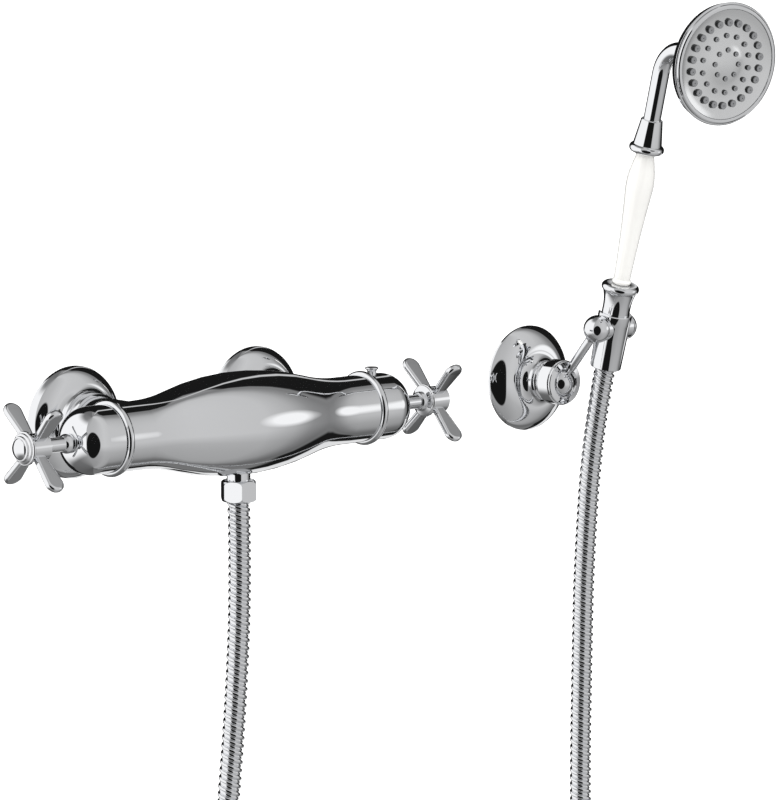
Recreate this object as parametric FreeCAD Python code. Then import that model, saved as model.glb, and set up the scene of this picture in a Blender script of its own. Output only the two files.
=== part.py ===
import FreeCAD, Part
import math
import os
from FreeCAD import Placement, Rotation, Vector

# Shower mixer with a thermostatic cartridge and a hand shower on a wall bracket.
# Millimetres, +X right, +Z up, the wall is the plane y = 0 and the room lies towards -Y.
# The origin is on the wall, midway between the two inlets.

# Driving dimensions
INLET_SPACING = 150.0
BODY_OUT = 74.0
BODY_RADIUS = 32.8
WAIST_RADIUS = 21.6
WAIST_AT = 83.0
INFLECTION_AT = 54.0
CASTING_END = 102.0
STOP_RING_RADIUS = 24.0
STOP_RING_WIDTH = 5.0
SLEEVE_RADIUS = 21.4
SLEEVE_START = 107.4
DOME_START = 119.8
SLEEVE_APEX = 135.8
STEM_RADIUS = 4.65
ARM_PLANE = 164.4
ARM_TIP = 34.5
ARM_THICKNESS = 5.0
HUB_RADIUS = 8.1
HUB_END = 9.2
ROSETTE_RADIUS = 35.8
INLET_THREAD_RADIUS = 10.48
INLET_THREAD_DEPTH = 18.0
WATER_WAY = 7.0
BRANCH_RADIUS = 18.5
HOSE_DIAMETER = 14.5
HOSE_BORE_RADIUS = 4.6
HOSE_START = 50.5
RIB_PITCH = 6.4
BRACKET_X = 320.0
BRACKET_Z = -6.0
BALL_RADIUS = 9.5
BALL_OUT = 34.7
KNUCKLE_OUT = 69.3
KNUCKLE_Z = 33.5
KNUCKLE_RADIUS = 9.4
HOLDER_X = 334.5
HOLDER_TILT = 14.2
SLEEVE_BOTTOM = -28.3
SLEEVE_TOP = 10.3
HOSE_SLOT = 15.2
GRIP_FOOT = 31.0
GRIP_HEAD = 124.0
NECK_RADIUS = 5.5
NECK_BEND = 21.0
FACE_RADIUS = 40.8
NECK_CORNER = 197.3
FACE_REACH = 67.8
FACE_DROOP = 7.0
FACE_TURN = 8.5

# Small clearances between pieces that slide in or turn on each other
FIT = 0.05

UP = Vector(0, 0, 1)
OUTWARDS = Vector(0, -1, 0)


def solid(shape):
    """The one solid of a result, facing outwards."""
    found = shape.Solids[0] if len(shape.Solids) == 1 else shape
    if found.Volume < 0:
        found.reverse()
    return found


def turned(steps):
    """Revolve a closed outline about Z. A step is (radius, height), reached by a straight
    line, or (mid radius, mid height, radius, height), reached by an arc."""
    start = Vector(steps[0][0], 0, steps[0][1])
    here = start
    edges = []
    for step in steps[1:]:
        there = Vector(step[-2], 0, step[-1])
        if len(step) == 4:
            middle = Vector(step[0], 0, step[1])
            edges.append(Part.Arc(here, middle, there).toShape())
        else:
            edges.append(Part.LineSegment(here, there).toShape())
        here = there
    if (here - start).Length > 1e-6:
        edges.append(Part.LineSegment(here, start).toShape())
    face = Part.Face(Part.Wire(edges))
    return solid(face.revolve(Vector(0, 0, 0), UP, 360))


def crown(radius, low, top):
    """The step that ends an outline in a spherical crown on the axis."""
    height = top - low
    sphere = (radius ** 2 + height ** 2) / (2.0 * height)
    half = math.asin(radius / sphere) / 2.0
    return (sphere * math.sin(half), top - sphere * (1 - math.cos(half)), 0, top)


def ring(outer, inner, low, high):
    return turned([(inner, low), (outer, low), (outer, high), (inner, high)])


def rod(radius, low, high):
    return Part.makeCylinder(radius, high - low, Vector(0, 0, low), UP)


def cross_rod(radius, start, end):
    """A plain cylinder from one point to another."""
    axis = end - start
    return Part.makeCylinder(radius, axis.Length, start, axis)


def hexagon(across_flats, low, high, chamfer):
    """A hexagonal bar whose corners are turned down at both ends."""
    corner = across_flats / math.sqrt(3.0)
    points = []
    for k in range(7):
        angle = math.radians(60.0 * k)
        points.append(Vector(corner * math.cos(angle), corner * math.sin(angle), low))
    bar = Part.Face(Part.makePolygon(points)).extrude(Vector(0, 0, high - low))
    flat = across_flats / 2.0
    blank = turned([
        (0, low), (flat, low), (corner, low + chamfer), (corner, high - chamfer),
        (flat, high), (0, high),
    ])
    return solid(bar.common(blank))


def moved(shape, placement):
    copy = shape.copy()
    copy.Placement = placement.multiply(copy.Placement)
    return copy


def facing(origin, direction):
    """The placement that carries a piece's own Z axis onto a direction."""
    return Placement(origin, Rotation(UP, direction))


def mixer_end(side):
    """Own Z runs from the middle of the mixer to its left (-1) or right (+1) end."""
    return facing(Vector(0, -BODY_OUT, 0), Vector(side, 0, 0))


def off_wall(x, z):
    """Own Z is the depth in front of the wall."""
    return facing(Vector(x, 0, z), OUTWARDS)


def save(name, *solids):
    shape = solids[0] if len(solids) == 1 else Part.makeCompound(list(solids))
    for piece in shape.Solids:
        if not piece.isValid() or piece.Volume <= 0:
            print("CHECK", name, piece.isValid(), round(piece.Volume, 2))
    shape.exportStep("parts/" + name + ".step")
    print(name, len(shape.Solids), "solid(s)", round(shape.Volume / 1000.0, 2), "cm3")


# Mixer body
CARTRIDGE_BORE = 17.0
CARTRIDGE_SEAT = 44.0
CHAMBER_RADIUS = 8.0
SPIGOT_RADIUS = 18.7
TAIL_END = 20.9
VALVE_SEAT = 45.0
VALVE_BORE = 8.0
OUTLET_THREAD = 8.3
OUTLET_SEAT = 24.0


def s_curve(rise, run):
    """Two tangent arcs that step a radius down by rise over a run: their radii and turn."""
    turn = 2.0 * math.atan(rise / run)
    first = INFLECTION_AT / math.sin(turn)
    second = run / math.sin(turn) - first
    return first, second, turn


def mixer_body():
    rise = BODY_RADIUS - WAIST_RADIUS
    first, second, turn = s_curve(rise, WAIST_AT)
    half = turn / 2.0
    bulge_end = (BODY_RADIUS - first * (1 - math.cos(turn)), first * math.sin(turn))
    waist_mid = (
        WAIST_RADIUS + second * (1 - math.cos(half)),
        WAIST_AT - second * math.sin(half),
    )
    barrel = turned([
        (0, -CASTING_END - STOP_RING_WIDTH),
        (SPIGOT_RADIUS, -CASTING_END - STOP_RING_WIDTH),
        (SPIGOT_RADIUS, -CASTING_END),
        (WAIST_RADIUS, -CASTING_END),
        (WAIST_RADIUS, -WAIST_AT),
        (waist_mid[0], -waist_mid[1], bulge_end[0], -bulge_end[1]),
        (BODY_RADIUS, 0, bulge_end[0], bulge_end[1]),
        (waist_mid[0], waist_mid[1], WAIST_RADIUS, WAIST_AT),
        (WAIST_RADIUS, CASTING_END),
        (SPIGOT_RADIUS, CASTING_END),
        (SPIGOT_RADIUS, CASTING_END + STOP_RING_WIDTH),
        (0, CASTING_END + STOP_RING_WIDTH),
    ])
    body = moved(barrel, mixer_end(1))
    # The tail of each branch has a collar that holds the union nut
    branch = turned([
        (0, TAIL_END), (12.8, TAIL_END), (12.8, 22.4), (10.8, 22.4), (10.8, 25.2),
        (BRANCH_RADIUS, 25.2), (BRANCH_RADIUS, BODY_OUT), (0, BODY_OUT),
    ])
    for side in (-1, 1):
        body = body.fuse(moved(branch, off_wall(side * INLET_SPACING / 2.0, 0)))
    body = body.removeSplitter()
    cartridge_hole = rod(CARTRIDGE_BORE, CARTRIDGE_SEAT, CASTING_END + STOP_RING_WIDTH + 1)
    inlet_hole = turned([
        (0, TAIL_END - 1), (VALVE_BORE, TAIL_END - 1), (VALVE_BORE, VALVE_SEAT),
        (6.5, VALVE_SEAT), (6.5, BODY_OUT - 14.0), (0, BODY_OUT - 14.0),
    ])
    for side in (-1, 1):
        body = body.cut(moved(cartridge_hole, mixer_end(side)))
        body = body.cut(moved(inlet_hole, off_wall(side * INLET_SPACING / 2.0, 0)))
    chamber = rod(CHAMBER_RADIUS, -CARTRIDGE_SEAT - 1, CARTRIDGE_SEAT + 1)
    body = body.cut(moved(chamber, mixer_end(1)))
    outlet_hole = turned([
        (0, 0), (5.0, 0), (5.0, OUTLET_SEAT), (OUTLET_THREAD, OUTLET_SEAT),
        (OUTLET_THREAD, BODY_RADIUS + 2), (0, BODY_RADIUS + 2),
    ])
    body = body.cut(moved(outlet_hole, facing(Vector(0, -BODY_OUT, 0), -UP)))
    save("mixer_body", solid(body))


def stop_rings():
    middle = CASTING_END + STOP_RING_WIDTH / 2.0
    foot = STOP_RING_RADIUS - STOP_RING_WIDTH / 2.0
    bead = turned([
        (SPIGOT_RADIUS + FIT, CASTING_END),
        (foot, CASTING_END),
        (STOP_RING_RADIUS, middle, foot, CASTING_END + STOP_RING_WIDTH),
        (SPIGOT_RADIUS + FIT, CASTING_END + STOP_RING_WIDTH),
    ])
    save("left_stop_ring", moved(bead, mixer_end(-1)))
    save("right_stop_ring", moved(bead, mixer_end(1)))


# Wall connections
def wall_connections():
    # A spun rosette: rolled rim, convex dome, flared throat and a stepped lip
    rosette = turned([
        (34.0, 0), (ROSETTE_RADIUS, 0), (ROSETTE_RADIUS, 2.2),
        (31.6, 8.9, 24.0, 12.5), (21.7, 14.6, 20.6, 18.0), (20.6, 20.6), (19.9, 21.0),
        (19.9, 21.9), (20.5, 22.3), (20.5, 26.0), (BRANCH_RADIUS + FIT, 26.0),
        (BRANCH_RADIUS + FIT, 19.0), (19.8, 13.4, 22.6, 10.9), (29.8, 7.4, 34.0, 1.6),
    ])
    union = turned([
        (WATER_WAY, -INLET_THREAD_DEPTH), (INLET_THREAD_RADIUS, -INLET_THREAD_DEPTH),
        (INLET_THREAD_RADIUS, 4.0), (14.0, 4.0), (14.0, 7.0), (11.6, 7.0), (11.6, 9.0),
        (13.1, 9.6), (13.1, 18.9), (WATER_WAY, 18.9),
    ])
    nut = hexagon(30.0, 9.0, 25.0, 1.2)
    nut = nut.cut(rod(13.12, 8.0, 22.4))
    nut = nut.cut(rod(10.85, 22.0, 26.0))
    washer = ring(12.8, 8.2, 18.9, TAIL_END)
    valve = turned([
        (0, 43.0), (3.0, 43.0), (3.0, 34.0), (5.0, 31.0), (5.0, 30.0), (7.9, 30.0),
        (7.9, 34.0), (7.2, 34.4), (7.2, 36.6), (7.9, 37.0), (7.9, VALVE_SEAT),
        (5.5, VALVE_SEAT), (5.5, 44.0), (0, 44.0),
    ])
    washers = []
    valves = []
    for side, word in ((-1, "left"), (1, "right")):
        place = off_wall(side * INLET_SPACING / 2.0, 0)
        save(word + "_wall_flange", moved(rosette, place))
        save(word + "_wall_union", moved(union, place))
        save(word + "_union_nut", moved(nut, place))
        washers.append(moved(washer, place))
        valves.append(moved(valve, place))
    save("inlet_washers", *washers)
    save("check_valves", *valves)


# Outlet
def outlet():
    place = facing(Vector(0, -BODY_OUT, 0), -UP)
    nipple = turned([
        (5.0, OUTLET_SEAT), (8.28, OUTLET_SEAT), (8.28, 31.0), (7.5, 31.0), (7.5, 37.0),
        (8.3, 37.6), (8.3, 45.5), (5.0, 45.5),
    ])
    save("outlet_nipple", moved(nipple, place))
    nut = hexagon(20.6, 36.0, HOSE_START, 1.4)
    nut = nut.cut(rod(8.34, 35.0, 47.5))
    nut = nut.cut(rod(6.3, 47.0, HOSE_START + 1))
    save("hose_nut", moved(solid(nut), place))
    save("hose_nut_washer", moved(ring(8.2, 5.2, 45.5, 47.5), place))


# Thermostatic cartridge, right end
SPINDLE_RADIUS = 5.0
STEM_END = ARM_PLANE - 2.0
WAX_TIP = 78.0


def thermostat():
    place = mixer_end(1)
    seat = CARTRIDGE_BORE - 0.1
    housing = turned([
        (8.0, 44.0), (seat, 44.0), (seat, 49.0), (15.2, 49.0), (15.2, 51.6), (seat, 51.6),
        (seat, 79.0), (15.2, 79.0), (15.2, 81.6), (seat, 81.6), (seat, 106.0),
        (SPINDLE_RADIUS + FIT, 106.0), (SPINDLE_RADIUS + FIT, 87.0), (12.0, 87.0),
        (12.0, 48.0), (8.0, 48.0),
    ])
    for k in range(4):
        angle = math.radians(90.0 * k)
        rim = Vector(20.0 * math.cos(angle), 20.0 * math.sin(angle), 70.0)
        housing = housing.cut(cross_rod(3.5, Vector(0, 0, 70.0), rim))
    save("thermostat_housing", moved(solid(housing), place))
    wax = turned([
        (0, 51.0), (4.0, 51.0), (5.5, 52.5), (5.5, 57.0), (7.0, 57.0), (7.0, 60.0),
        (5.5, 60.0), (5.5, 70.0), (2.5, 72.0), (2.5, WAX_TIP), (0, WAX_TIP),
    ])
    save("wax_element", moved(wax, place))
    piston = turned([
        (5.5, 60.0), (11.95, 60.0), (11.95, 62.0), (10.4, 62.0), (10.4, 64.0),
        (11.95, 64.0), (11.95, 66.0), (7.0, 66.0), (5.5, 65.0),
    ])
    save("mixing_piston", moved(piston, place))
    save("piston_spring", moved(ring(10.4, 8.6, 48.0, 60.0), place))


# Shut-off cartridge, left end
def shut_off():
    place = mixer_end(-1)
    seat = CARTRIDGE_BORE - 0.1
    housing = turned([
        (12.6, 44.0), (seat, 44.0), (seat, 49.0), (15.2, 49.0), (15.2, 51.6), (seat, 51.6),
        (seat, 106.0), (SPINDLE_RADIUS + FIT, 106.0), (SPINDLE_RADIUS + FIT, 62.0),
        (12.6, 62.0),
    ])
    save("flow_cartridge_housing", moved(housing, place))
    # The two discs have the same butterfly windows
    window = rod(7.2, 40.0, 60.0)
    half = Part.makeBox(20.0, 20.0, 30.0, Vector(1.2, 1.2, 38.0))
    other = Part.makeBox(20.0, 20.0, 30.0, Vector(-21.2, -21.2, 38.0))
    windows = window.common(half.fuse(other))
    fixed = rod(12.5, 44.0, 49.0).cut(windows)
    moving = rod(12.3, 49.05, 54.0).cut(windows)
    save("fixed_ceramic_disc", moved(solid(fixed), place))
    save("moving_ceramic_disc", moved(solid(moving), place))


# Turning sleeves and spindles
BUTTON_X = 112.6
POCKET_RADIUS = 5.0


def sleeve_shell():
    # The dome is a quarter of a round in section, which ends level at the stem
    foot = SLEEVE_RADIUS - (SLEEVE_APEX - DOME_START)
    middle = (SLEEVE_APEX - DOME_START) * math.sqrt(0.5)
    return turned([
        (17.6, SLEEVE_START), (SLEEVE_RADIUS, SLEEVE_START), (SLEEVE_RADIUS, DOME_START),
        (foot + middle, DOME_START + middle, foot, SLEEVE_APEX),
        (SPINDLE_RADIUS, SLEEVE_APEX), (SPINDLE_RADIUS, 112.0), (8.2, 112.0),
        (8.2, 131.0), (13.2, 127.9), (16.6, 122.5), (17.6, 118.5),
    ])


def spindle(foot):
    """A spindle with its chromed stem; the foot is the outline of its inner end."""
    return turned(foot + [
        (SPINDLE_RADIUS, SLEEVE_APEX + 0.1), (6.0, SLEEVE_APEX + 0.1), (6.2, 136.4),
        (6.2, 137.6), (5.8, 139.8, STEM_RADIUS, 141.6),
        (STEM_RADIUS, STEM_END), (2.0, STEM_END), (2.0, STEM_END - 12.0),
        (0, STEM_END - 13.0),
    ])


def flow_group():
    place = mixer_end(-1)
    save("flow_sleeve", moved(sleeve_shell(), place))
    foot = [(0, 54.0), (10.0, 54.0), (10.0, 61.0), (SPINDLE_RADIUS, 61.0)]
    save("flow_spindle", moved(spindle(foot), place))
    handle_place = facing(Vector(-ARM_PLANE, -BODY_OUT, 0), Vector(-1, 0, 0))
    save("flow_cross_handle", moved(cross_handle(stem_end=-HUB_END), handle_place))
    save("flow_handle_screw", moved(handle_screw(), handle_place))
    cap = turned([
        (0, 3.9), (3.9, 3.9), (3.9, 4.6), (10.2, 4.6), (10.75, 5.2), (10.75, 6.2),
        (10.1, 6.6), (10.1, 7.2), (9.2, 7.7), (7.0, 8.3), (6.3, 8.7), (6.3, 9.6),
        crown(6.3, 9.6, 12.6),
    ])
    save("flow_index_cap", moved(cap, handle_place))


def temperature_group():
    place = mixer_end(1)
    axis = Vector(BUTTON_X, -BODY_OUT, 0)
    upright = facing(axis, UP)
    sleeve = moved(sleeve_shell(), place)
    pocket = rod(POCKET_RADIUS, 9.5, 19.0)
    sleeve = sleeve.fuse(moved(pocket, upright))
    sleeve = sleeve.cut(moved(rod(4.0, 11.0, 17.6), upright))
    sleeve = sleeve.cut(moved(rod(3.0 + FIT, 17.0, 30.0), upright))
    save("temperature_sleeve", solid(sleeve))
    foot = [(0, WAX_TIP + FIT), (3.5, WAX_TIP + FIT), (3.5, 81.0), (11.4, 81.0), (11.4, 86.5),
            (SPINDLE_RADIUS, 86.5)]
    save("temperature_spindle", moved(spindle(foot), place))
    button = turned([
        (0, 14.6), (3.7, 14.6), (3.7, 17.5), (3.0, 17.5), (3.0, 22.6), (3.3, 23.9, 4.3, 24.7),
        (4.3, 25.4), (3.9, 25.9), (0, 26.1),
    ])
    save("safety_button", moved(button, upright))
    save("button_spring", moved(ring(3.4, 2.5, 11.0, 14.6), upright))
    # This handle stands the other way round on its stem, with the ringed side inwards
    handle_place = facing(Vector(ARM_PLANE, -BODY_OUT, 0), Vector(-1, 0, 0))
    save("temperature_cross_handle", moved(cross_handle(stem_end=4.6), handle_place))
    screw_place = facing(Vector(ARM_PLANE, -BODY_OUT, 0), Vector(1, 0, 0))
    save("temperature_handle_screw", moved(handle_screw(), screw_place))
    hub_ring = turned([
        (STEM_RADIUS + FIT, 4.6), (10.0, 4.6), (10.6, 5.2), (10.6, 6.4), (10.0, 6.8),
        (10.0, 7.4), (9.2, 7.9), (7.0, 8.5), (6.3, 8.9), (6.3, 9.8), (5.9, 11.2, 5.2, 12.0),
        (STEM_RADIUS + FIT, 12.0),
    ])
    save("temperature_hub_ring", moved(hub_ring, handle_place))
    cap = turned([
        (0, 5.0), (4.4, 5.0), (4.4, HUB_END), (7.5, HUB_END), (7.5, 9.7),
        crown(7.5, 9.7, 11.2),
    ])
    save("temperature_index_cap", moved(cap, screw_place))


def blade(angle):
    """One arm of a cross handle: a flat bar that widens towards its rounded tip."""
    root = Vector(5.0, -ARM_THICKNESS / 2.0, -3.9)
    shoulder = Vector(28.0, -ARM_THICKNESS / 2.0, -6.2)
    tip = Vector(ARM_TIP, -ARM_THICKNESS / 2.0, 0)
    far = Vector(28.0, -ARM_THICKNESS / 2.0, 6.2)
    back = Vector(5.0, -ARM_THICKNESS / 2.0, 3.9)
    outline = Part.Wire([
        Part.LineSegment(root, shoulder).toShape(),
        Part.Arc(shoulder, tip, far).toShape(),
        Part.LineSegment(far, back).toShape(),
        Part.LineSegment(back, root).toShape(),
    ])
    bar = Part.Face(outline).extrude(Vector(0, ARM_THICKNESS, 0))
    long_edges = []
    for edge in bar.Edges:
        across = abs(edge.BoundBox.YLength - ARM_THICKNESS) < 0.01
        at_root = edge.BoundBox.XMax < 5.1
        if not across and not at_root:
            long_edges.append(edge)
    bar = bar.makeFillet(1.3, long_edges)
    bar.rotate(Vector(0, 0, 0), UP, angle)
    return bar


def cross_handle(stem_end):
    """Own Z is the stem's line with the arms at 0; the stem enters at stem_end."""
    handle = turned([
        (0, -HUB_END), (7.6, -HUB_END), (HUB_RADIUS, -8.7), (HUB_RADIUS, -6.6), (8.8, -6.0),
        (8.8, 4.6), (0, 4.6),
    ])
    for k in range(4):
        handle = handle.fuse(blade(45.0 + 90.0 * k))
    inwards = 1.0 if stem_end < 0 else -1.0
    outer = 4.6 if stem_end < 0 else -HUB_END
    handle = handle.cut(cross_rod(STEM_RADIUS + 0.02, Vector(0, 0, stem_end - inwards),
                                  Vector(0, 0, -2.0 * inwards)))
    handle = handle.cut(cross_rod(2.2, Vector(0, 0, -3.0 * inwards), Vector(0, 0, 2.0 * inwards)))
    handle = handle.cut(cross_rod(4.4, Vector(0, 0, 1.0 * inwards),
                                  Vector(0, 0, outer + inwards)))
    return solid(handle.removeSplitter())


def handle_screw():
    return turned([
        (0, -12.0), (1.95, -12.0), (1.95, 1.0), (3.6, 1.0), (3.6, 2.6), (2.9, 3.6), (1.6, 3.8),
        (1.4, 2.6), (0, 2.6),
    ])


# Bracket on the wall
def bracket():
    place = off_wall(BRACKET_X, BRACKET_Z)
    plate = turned([(0, 0), (30.0, 0), (30.0, 2.6), (29.4, 3.0), (8.0, 3.0), (8.0, 20.0), (0, 20.0)])
    for side in (-1, 1):
        centre = Vector(side * 22.0, 0, 0)
        plate = plate.cut(Part.makeCylinder(2.5, 6.0, centre - UP, UP))
    plate = plate.cut(rod(4.0, 6.0, 21.0))
    save("holder_wall_plate", moved(solid(plate), place))
    flange = turned([
        (34.0, 0), (ROSETTE_RADIUS, 0), (ROSETTE_RADIUS, 2.2), (29.5, 9.0, 20.0, 12.4),
        (14.6, 14.2, 12.5, 17.6), (12.5, 20.0), (13.2, 20.6), (13.5, 21.3, 13.2, 22.0),
        (12.2, 22.6), (12.4, 23.6, 12.2, 24.6), (10.55, 24.6), (10.55, 17.4),
        (12.8, 12.6, 19.2, 10.9), (28.0, 7.6, 34.0, 1.6),
    ])
    save("holder_wall_flange", moved(flange, place))
    # The cup screws into the plate's boss and holds the ball between two plastic seats
    housing = turned([
        (0, 10.0), (3.95, 10.0), (3.95, 20.0), (10.5, 20.0), (10.5, 26.5), (14.6, 26.5),
        (15.3, 27.2), (15.3, 36.4), (14.7, 37.0), (13.0, 37.0), (13.0, 32.0), (10.0, 32.0),
        (10.0, 23.0), (0, 23.0),
    ])
    save("swivel_housing", moved(housing, place))
    inner = BALL_RADIUS + FIT
    low = 27.0
    reach = math.sqrt(inner ** 2 - (BALL_OUT - low) ** 2)
    high = 32.0
    mouth = math.sqrt(inner ** 2 - (BALL_OUT - high) ** 2)
    mid = 29.5
    girth = math.sqrt(inner ** 2 - (BALL_OUT - mid) ** 2)
    rear = turned([
        (4.0, 23.0), (10.0, 23.0), (10.0, high), (mouth, high), (girth, mid, reach, low),
        (4.0, 25.0),
    ])
    save("rear_ball_seat", moved(rear, place))
    low, mid, high = 34.2, 35.8, 37.4
    radii = [math.sqrt(inner ** 2 - (BALL_OUT - depth) ** 2) for depth in (low, mid, high)]
    front = turned([
        (radii[0], low), (11.2, low), (11.2, high), (radii[2], high), (radii[1], mid, radii[0], low),
    ])
    save("front_ball_seat", moved(front, place))
    nut = turned([
        (11.2, 32.4), (13.0, 32.4), (13.0, 37.0), (14.6, 37.0), (14.6, 38.4), (14.0, 39.0),
        (10.4, 39.0), (9.1, 38.2), (9.1, 37.4), (11.2, 37.4),
    ])
    save("swivel_ring_nut", moved(nut, place))


# Arm from the ball to the knuckle
FLAT_X = 322.9
WASHER_X = 323.3
BOSS_X = 323.35


def arm_group():
    ball_at = Vector(BRACKET_X, -BALL_OUT, BRACKET_Z)
    knuckle_at = Vector(BRACKET_X, -KNUCKLE_OUT, KNUCKLE_Z)
    line = knuckle_at - ball_at
    rod_piece = turned([
        (0, 0), (2.3, 0), (2.3, 11.5), (2.7, 13.6, 3.1, 15.0), (3.1, 41.0), (3.5, 43.6, 5.0, 45.4),
        (5.0, line.Length), (0, line.Length),
    ])
    pivot = facing(Vector(0, -KNUCKLE_OUT, KNUCKLE_Z), Vector(1, 0, 0))
    arm = moved(rod_piece, facing(ball_at, line))
    arm = arm.fuse(Part.makeSphere(BALL_RADIUS, ball_at))
    arm = arm.fuse(Part.makeSphere(KNUCKLE_RADIUS, knuckle_at))
    # The knuckle is flat where the holder turns against it
    arm = arm.cut(moved(rod(KNUCKLE_RADIUS + 0.6, FLAT_X, FLAT_X + 10.0), pivot))
    arm = arm.cut(moved(rod(2.0, FLAT_X - 9.0, FLAT_X + 1.0), pivot))
    save("holder_arm", solid(arm.removeSplitter()))
    save("pivot_washer", moved(ring(7.5, 3.1, FLAT_X, WASHER_X), pivot))
    screw = turned([
        (0, FLAT_X - 8.5), (1.95, FLAT_X - 8.5), (1.95, FLAT_X), (3.0, FLAT_X), (3.0, 324.2),
        (3.9, 324.2), (3.9, 324.9), (3.6, 325.15), (0, 325.15),
    ])
    save("pivot_screw", moved(screw, pivot))


# Slotted sleeve that holds the hand shower
def holder_place():
    """Own Z runs up the hand shower's grip and own +Y faces the wall."""
    return Placement(
        Vector(HOLDER_X, -KNUCKLE_OUT, KNUCKLE_Z), Rotation(Vector(1, 0, 0), HOLDER_TILT)
    )


def nut_radius(s):
    """The cone of the hose's upper nut."""
    return 9.147 + 0.0263 * s


SEAT_GAP = 0.12
BOSS_RADIUS = 8.5
RIGHT_FACE = 11.8


def holder_group():
    low, high = SLEEVE_BOTTOM, SLEEVE_TOP
    sleeve = turned([
        (nut_radius(low) + SEAT_GAP, low), (10.1, low), (10.5, low + 0.5), (11.2, high - 7.0),
        (11.5, high - 6.4), (11.5, high - 0.6), (11.1, high), (nut_radius(high) + SEAT_GAP, high),
    ])
    left = BOSS_X - HOLDER_X
    boss = Part.makeCylinder(BOSS_RADIUS, RIGHT_FACE - left, Vector(left, 0, 0), Vector(1, 0, 0))
    bore = turned([
        (0, low - 1), (nut_radius(low - 1) + SEAT_GAP, low - 1),
        (nut_radius(high + 1) + SEAT_GAP, high + 1), (0, high + 1),
    ])
    sleeve = sleeve.fuse(boss).cut(bore)
    beside_knuckle = Part.makeBox(8.0, 30.0, high - low + 2, Vector(left - 8.0, -15.0, low - 1))
    sleeve = sleeve.cut(beside_knuckle)
    slot = Part.makeBox(HOSE_SLOT, 16.0, high - low + 2, Vector(-HOSE_SLOT / 2, 0, low - 1))
    sleeve = sleeve.cut(slot)
    x_axis = Vector(1, 0, 0)
    sleeve = sleeve.cut(Part.makeCylinder(3.1, 6.0, Vector(left - 1, 0, 0), x_axis))
    sleeve = sleeve.cut(Part.makeCylinder(4.1, 6.0, Vector(324.15 - HOLDER_X, 0, 0), x_axis))
    sleeve = sleeve.cut(Part.makeCylinder(5.0, 4.0, Vector(RIGHT_FACE - 2.0, 0, 0), x_axis))
    save("handset_holder", moved(solid(sleeve), holder_place()))
    plug = turned([
        (0, RIGHT_FACE - 1.9), (4.95, RIGHT_FACE - 1.9), (4.95, RIGHT_FACE), (8.5, RIGHT_FACE),
        (8.8, RIGHT_FACE + 0.4), (8.8, RIGHT_FACE + 1.2), crown(8.8, RIGHT_FACE + 1.2, 18.8),
    ])
    plug = moved(plug, facing(Vector(0, 0, 0), x_axis))
    save("holder_side_plug", moved(plug, holder_place()))


# Hand shower, from its hose nut up to the spray head
NUT_BOTTOM = -28.4
NUT_TOP = 9.6
CORE_END = 139.0
FERRULE_TOP = 146.7


def handset_group():
    place = holder_place()
    nut = turned([
        (5.0, NUT_BOTTOM), (nut_radius(NUT_BOTTOM), NUT_BOTTOM), (nut_radius(NUT_TOP), NUT_TOP),
        (7.62, NUT_TOP), (7.62, -8.0), (5.0, -8.0),
    ])
    save("hose_cone_nut", moved(nut, place))
    save("cone_nut_washer", moved(ring(7.5, 4.4, -8.0, -6.0), place))
    core = turned([
        (4.4, -6.0), (7.6, -6.0), (7.6, NUT_TOP), (3.3, NUT_TOP), (3.3, CORE_END),
        (2.3, CORE_END), (2.3, -2.0), (4.4, -4.0),
    ])
    save("grip_core_tube", moved(core, place))
    collar = turned([
        (3.35, NUT_TOP), (9.0, NUT_TOP), (9.4, 10.0), (9.4, 12.6), (9.6, 18.6, 11.3, 25.2),
        (12.3, 27.6), (12.75, 28.3), (12.75, 29.9), (12.3, 30.6), (9.2, 31.2), (5.6, GRIP_FOOT),
        (3.35, GRIP_FOOT),
    ])
    save("handset_collar", moved(collar, place))
    grip = turned([
        (3.4, GRIP_FOOT), (5.2, GRIP_FOOT), (6.5, 32.6, 5.6, 34.6), (6.9, 66.0, 9.3, 98.0),
        (9.1, 106.5, 8.0, 113.0), (6.6, 119.6, 5.6, GRIP_HEAD), (3.4, GRIP_HEAD),
    ])
    save("porcelain_grip", moved(grip, place))
    ferrule = turned([
        (3.35, GRIP_HEAD), (9.6, GRIP_HEAD), (11.5, 126.0, 9.9, 128.2), (9.35, 128.6),
        (9.35, 131.0), (9.0, 138.4, 7.0, 145.6), (6.6, FERRULE_TOP), (NECK_RADIUS, FERRULE_TOP),
        (NECK_RADIUS, CORE_END), (3.35, CORE_END),
    ])
    save("upper_ferrule", moved(ferrule, place))
    neck_tube()
    spray_head()


def tube_end(start, direction, radius):
    return Part.Wire([Part.makeCircle(radius, start, direction)])


def neck_lines():
    """The grip's direction, the spray's direction, and the point where the two lines meet.
    The hand shower sits in its cone turned a little to the left."""
    tilt = math.radians(HOLDER_TILT)
    droop = math.radians(FACE_DROOP)
    aside = math.radians(FACE_TURN)
    rise = Vector(0, -math.sin(tilt), math.cos(tilt))
    level = math.cos(droop)
    ahead = Vector(-math.sin(aside) * level, -math.cos(aside) * level, -math.sin(droop))
    corner = Vector(HOLDER_X, -KNUCKLE_OUT, KNUCKLE_Z) + rise * NECK_CORNER
    return rise, ahead, corner


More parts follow.
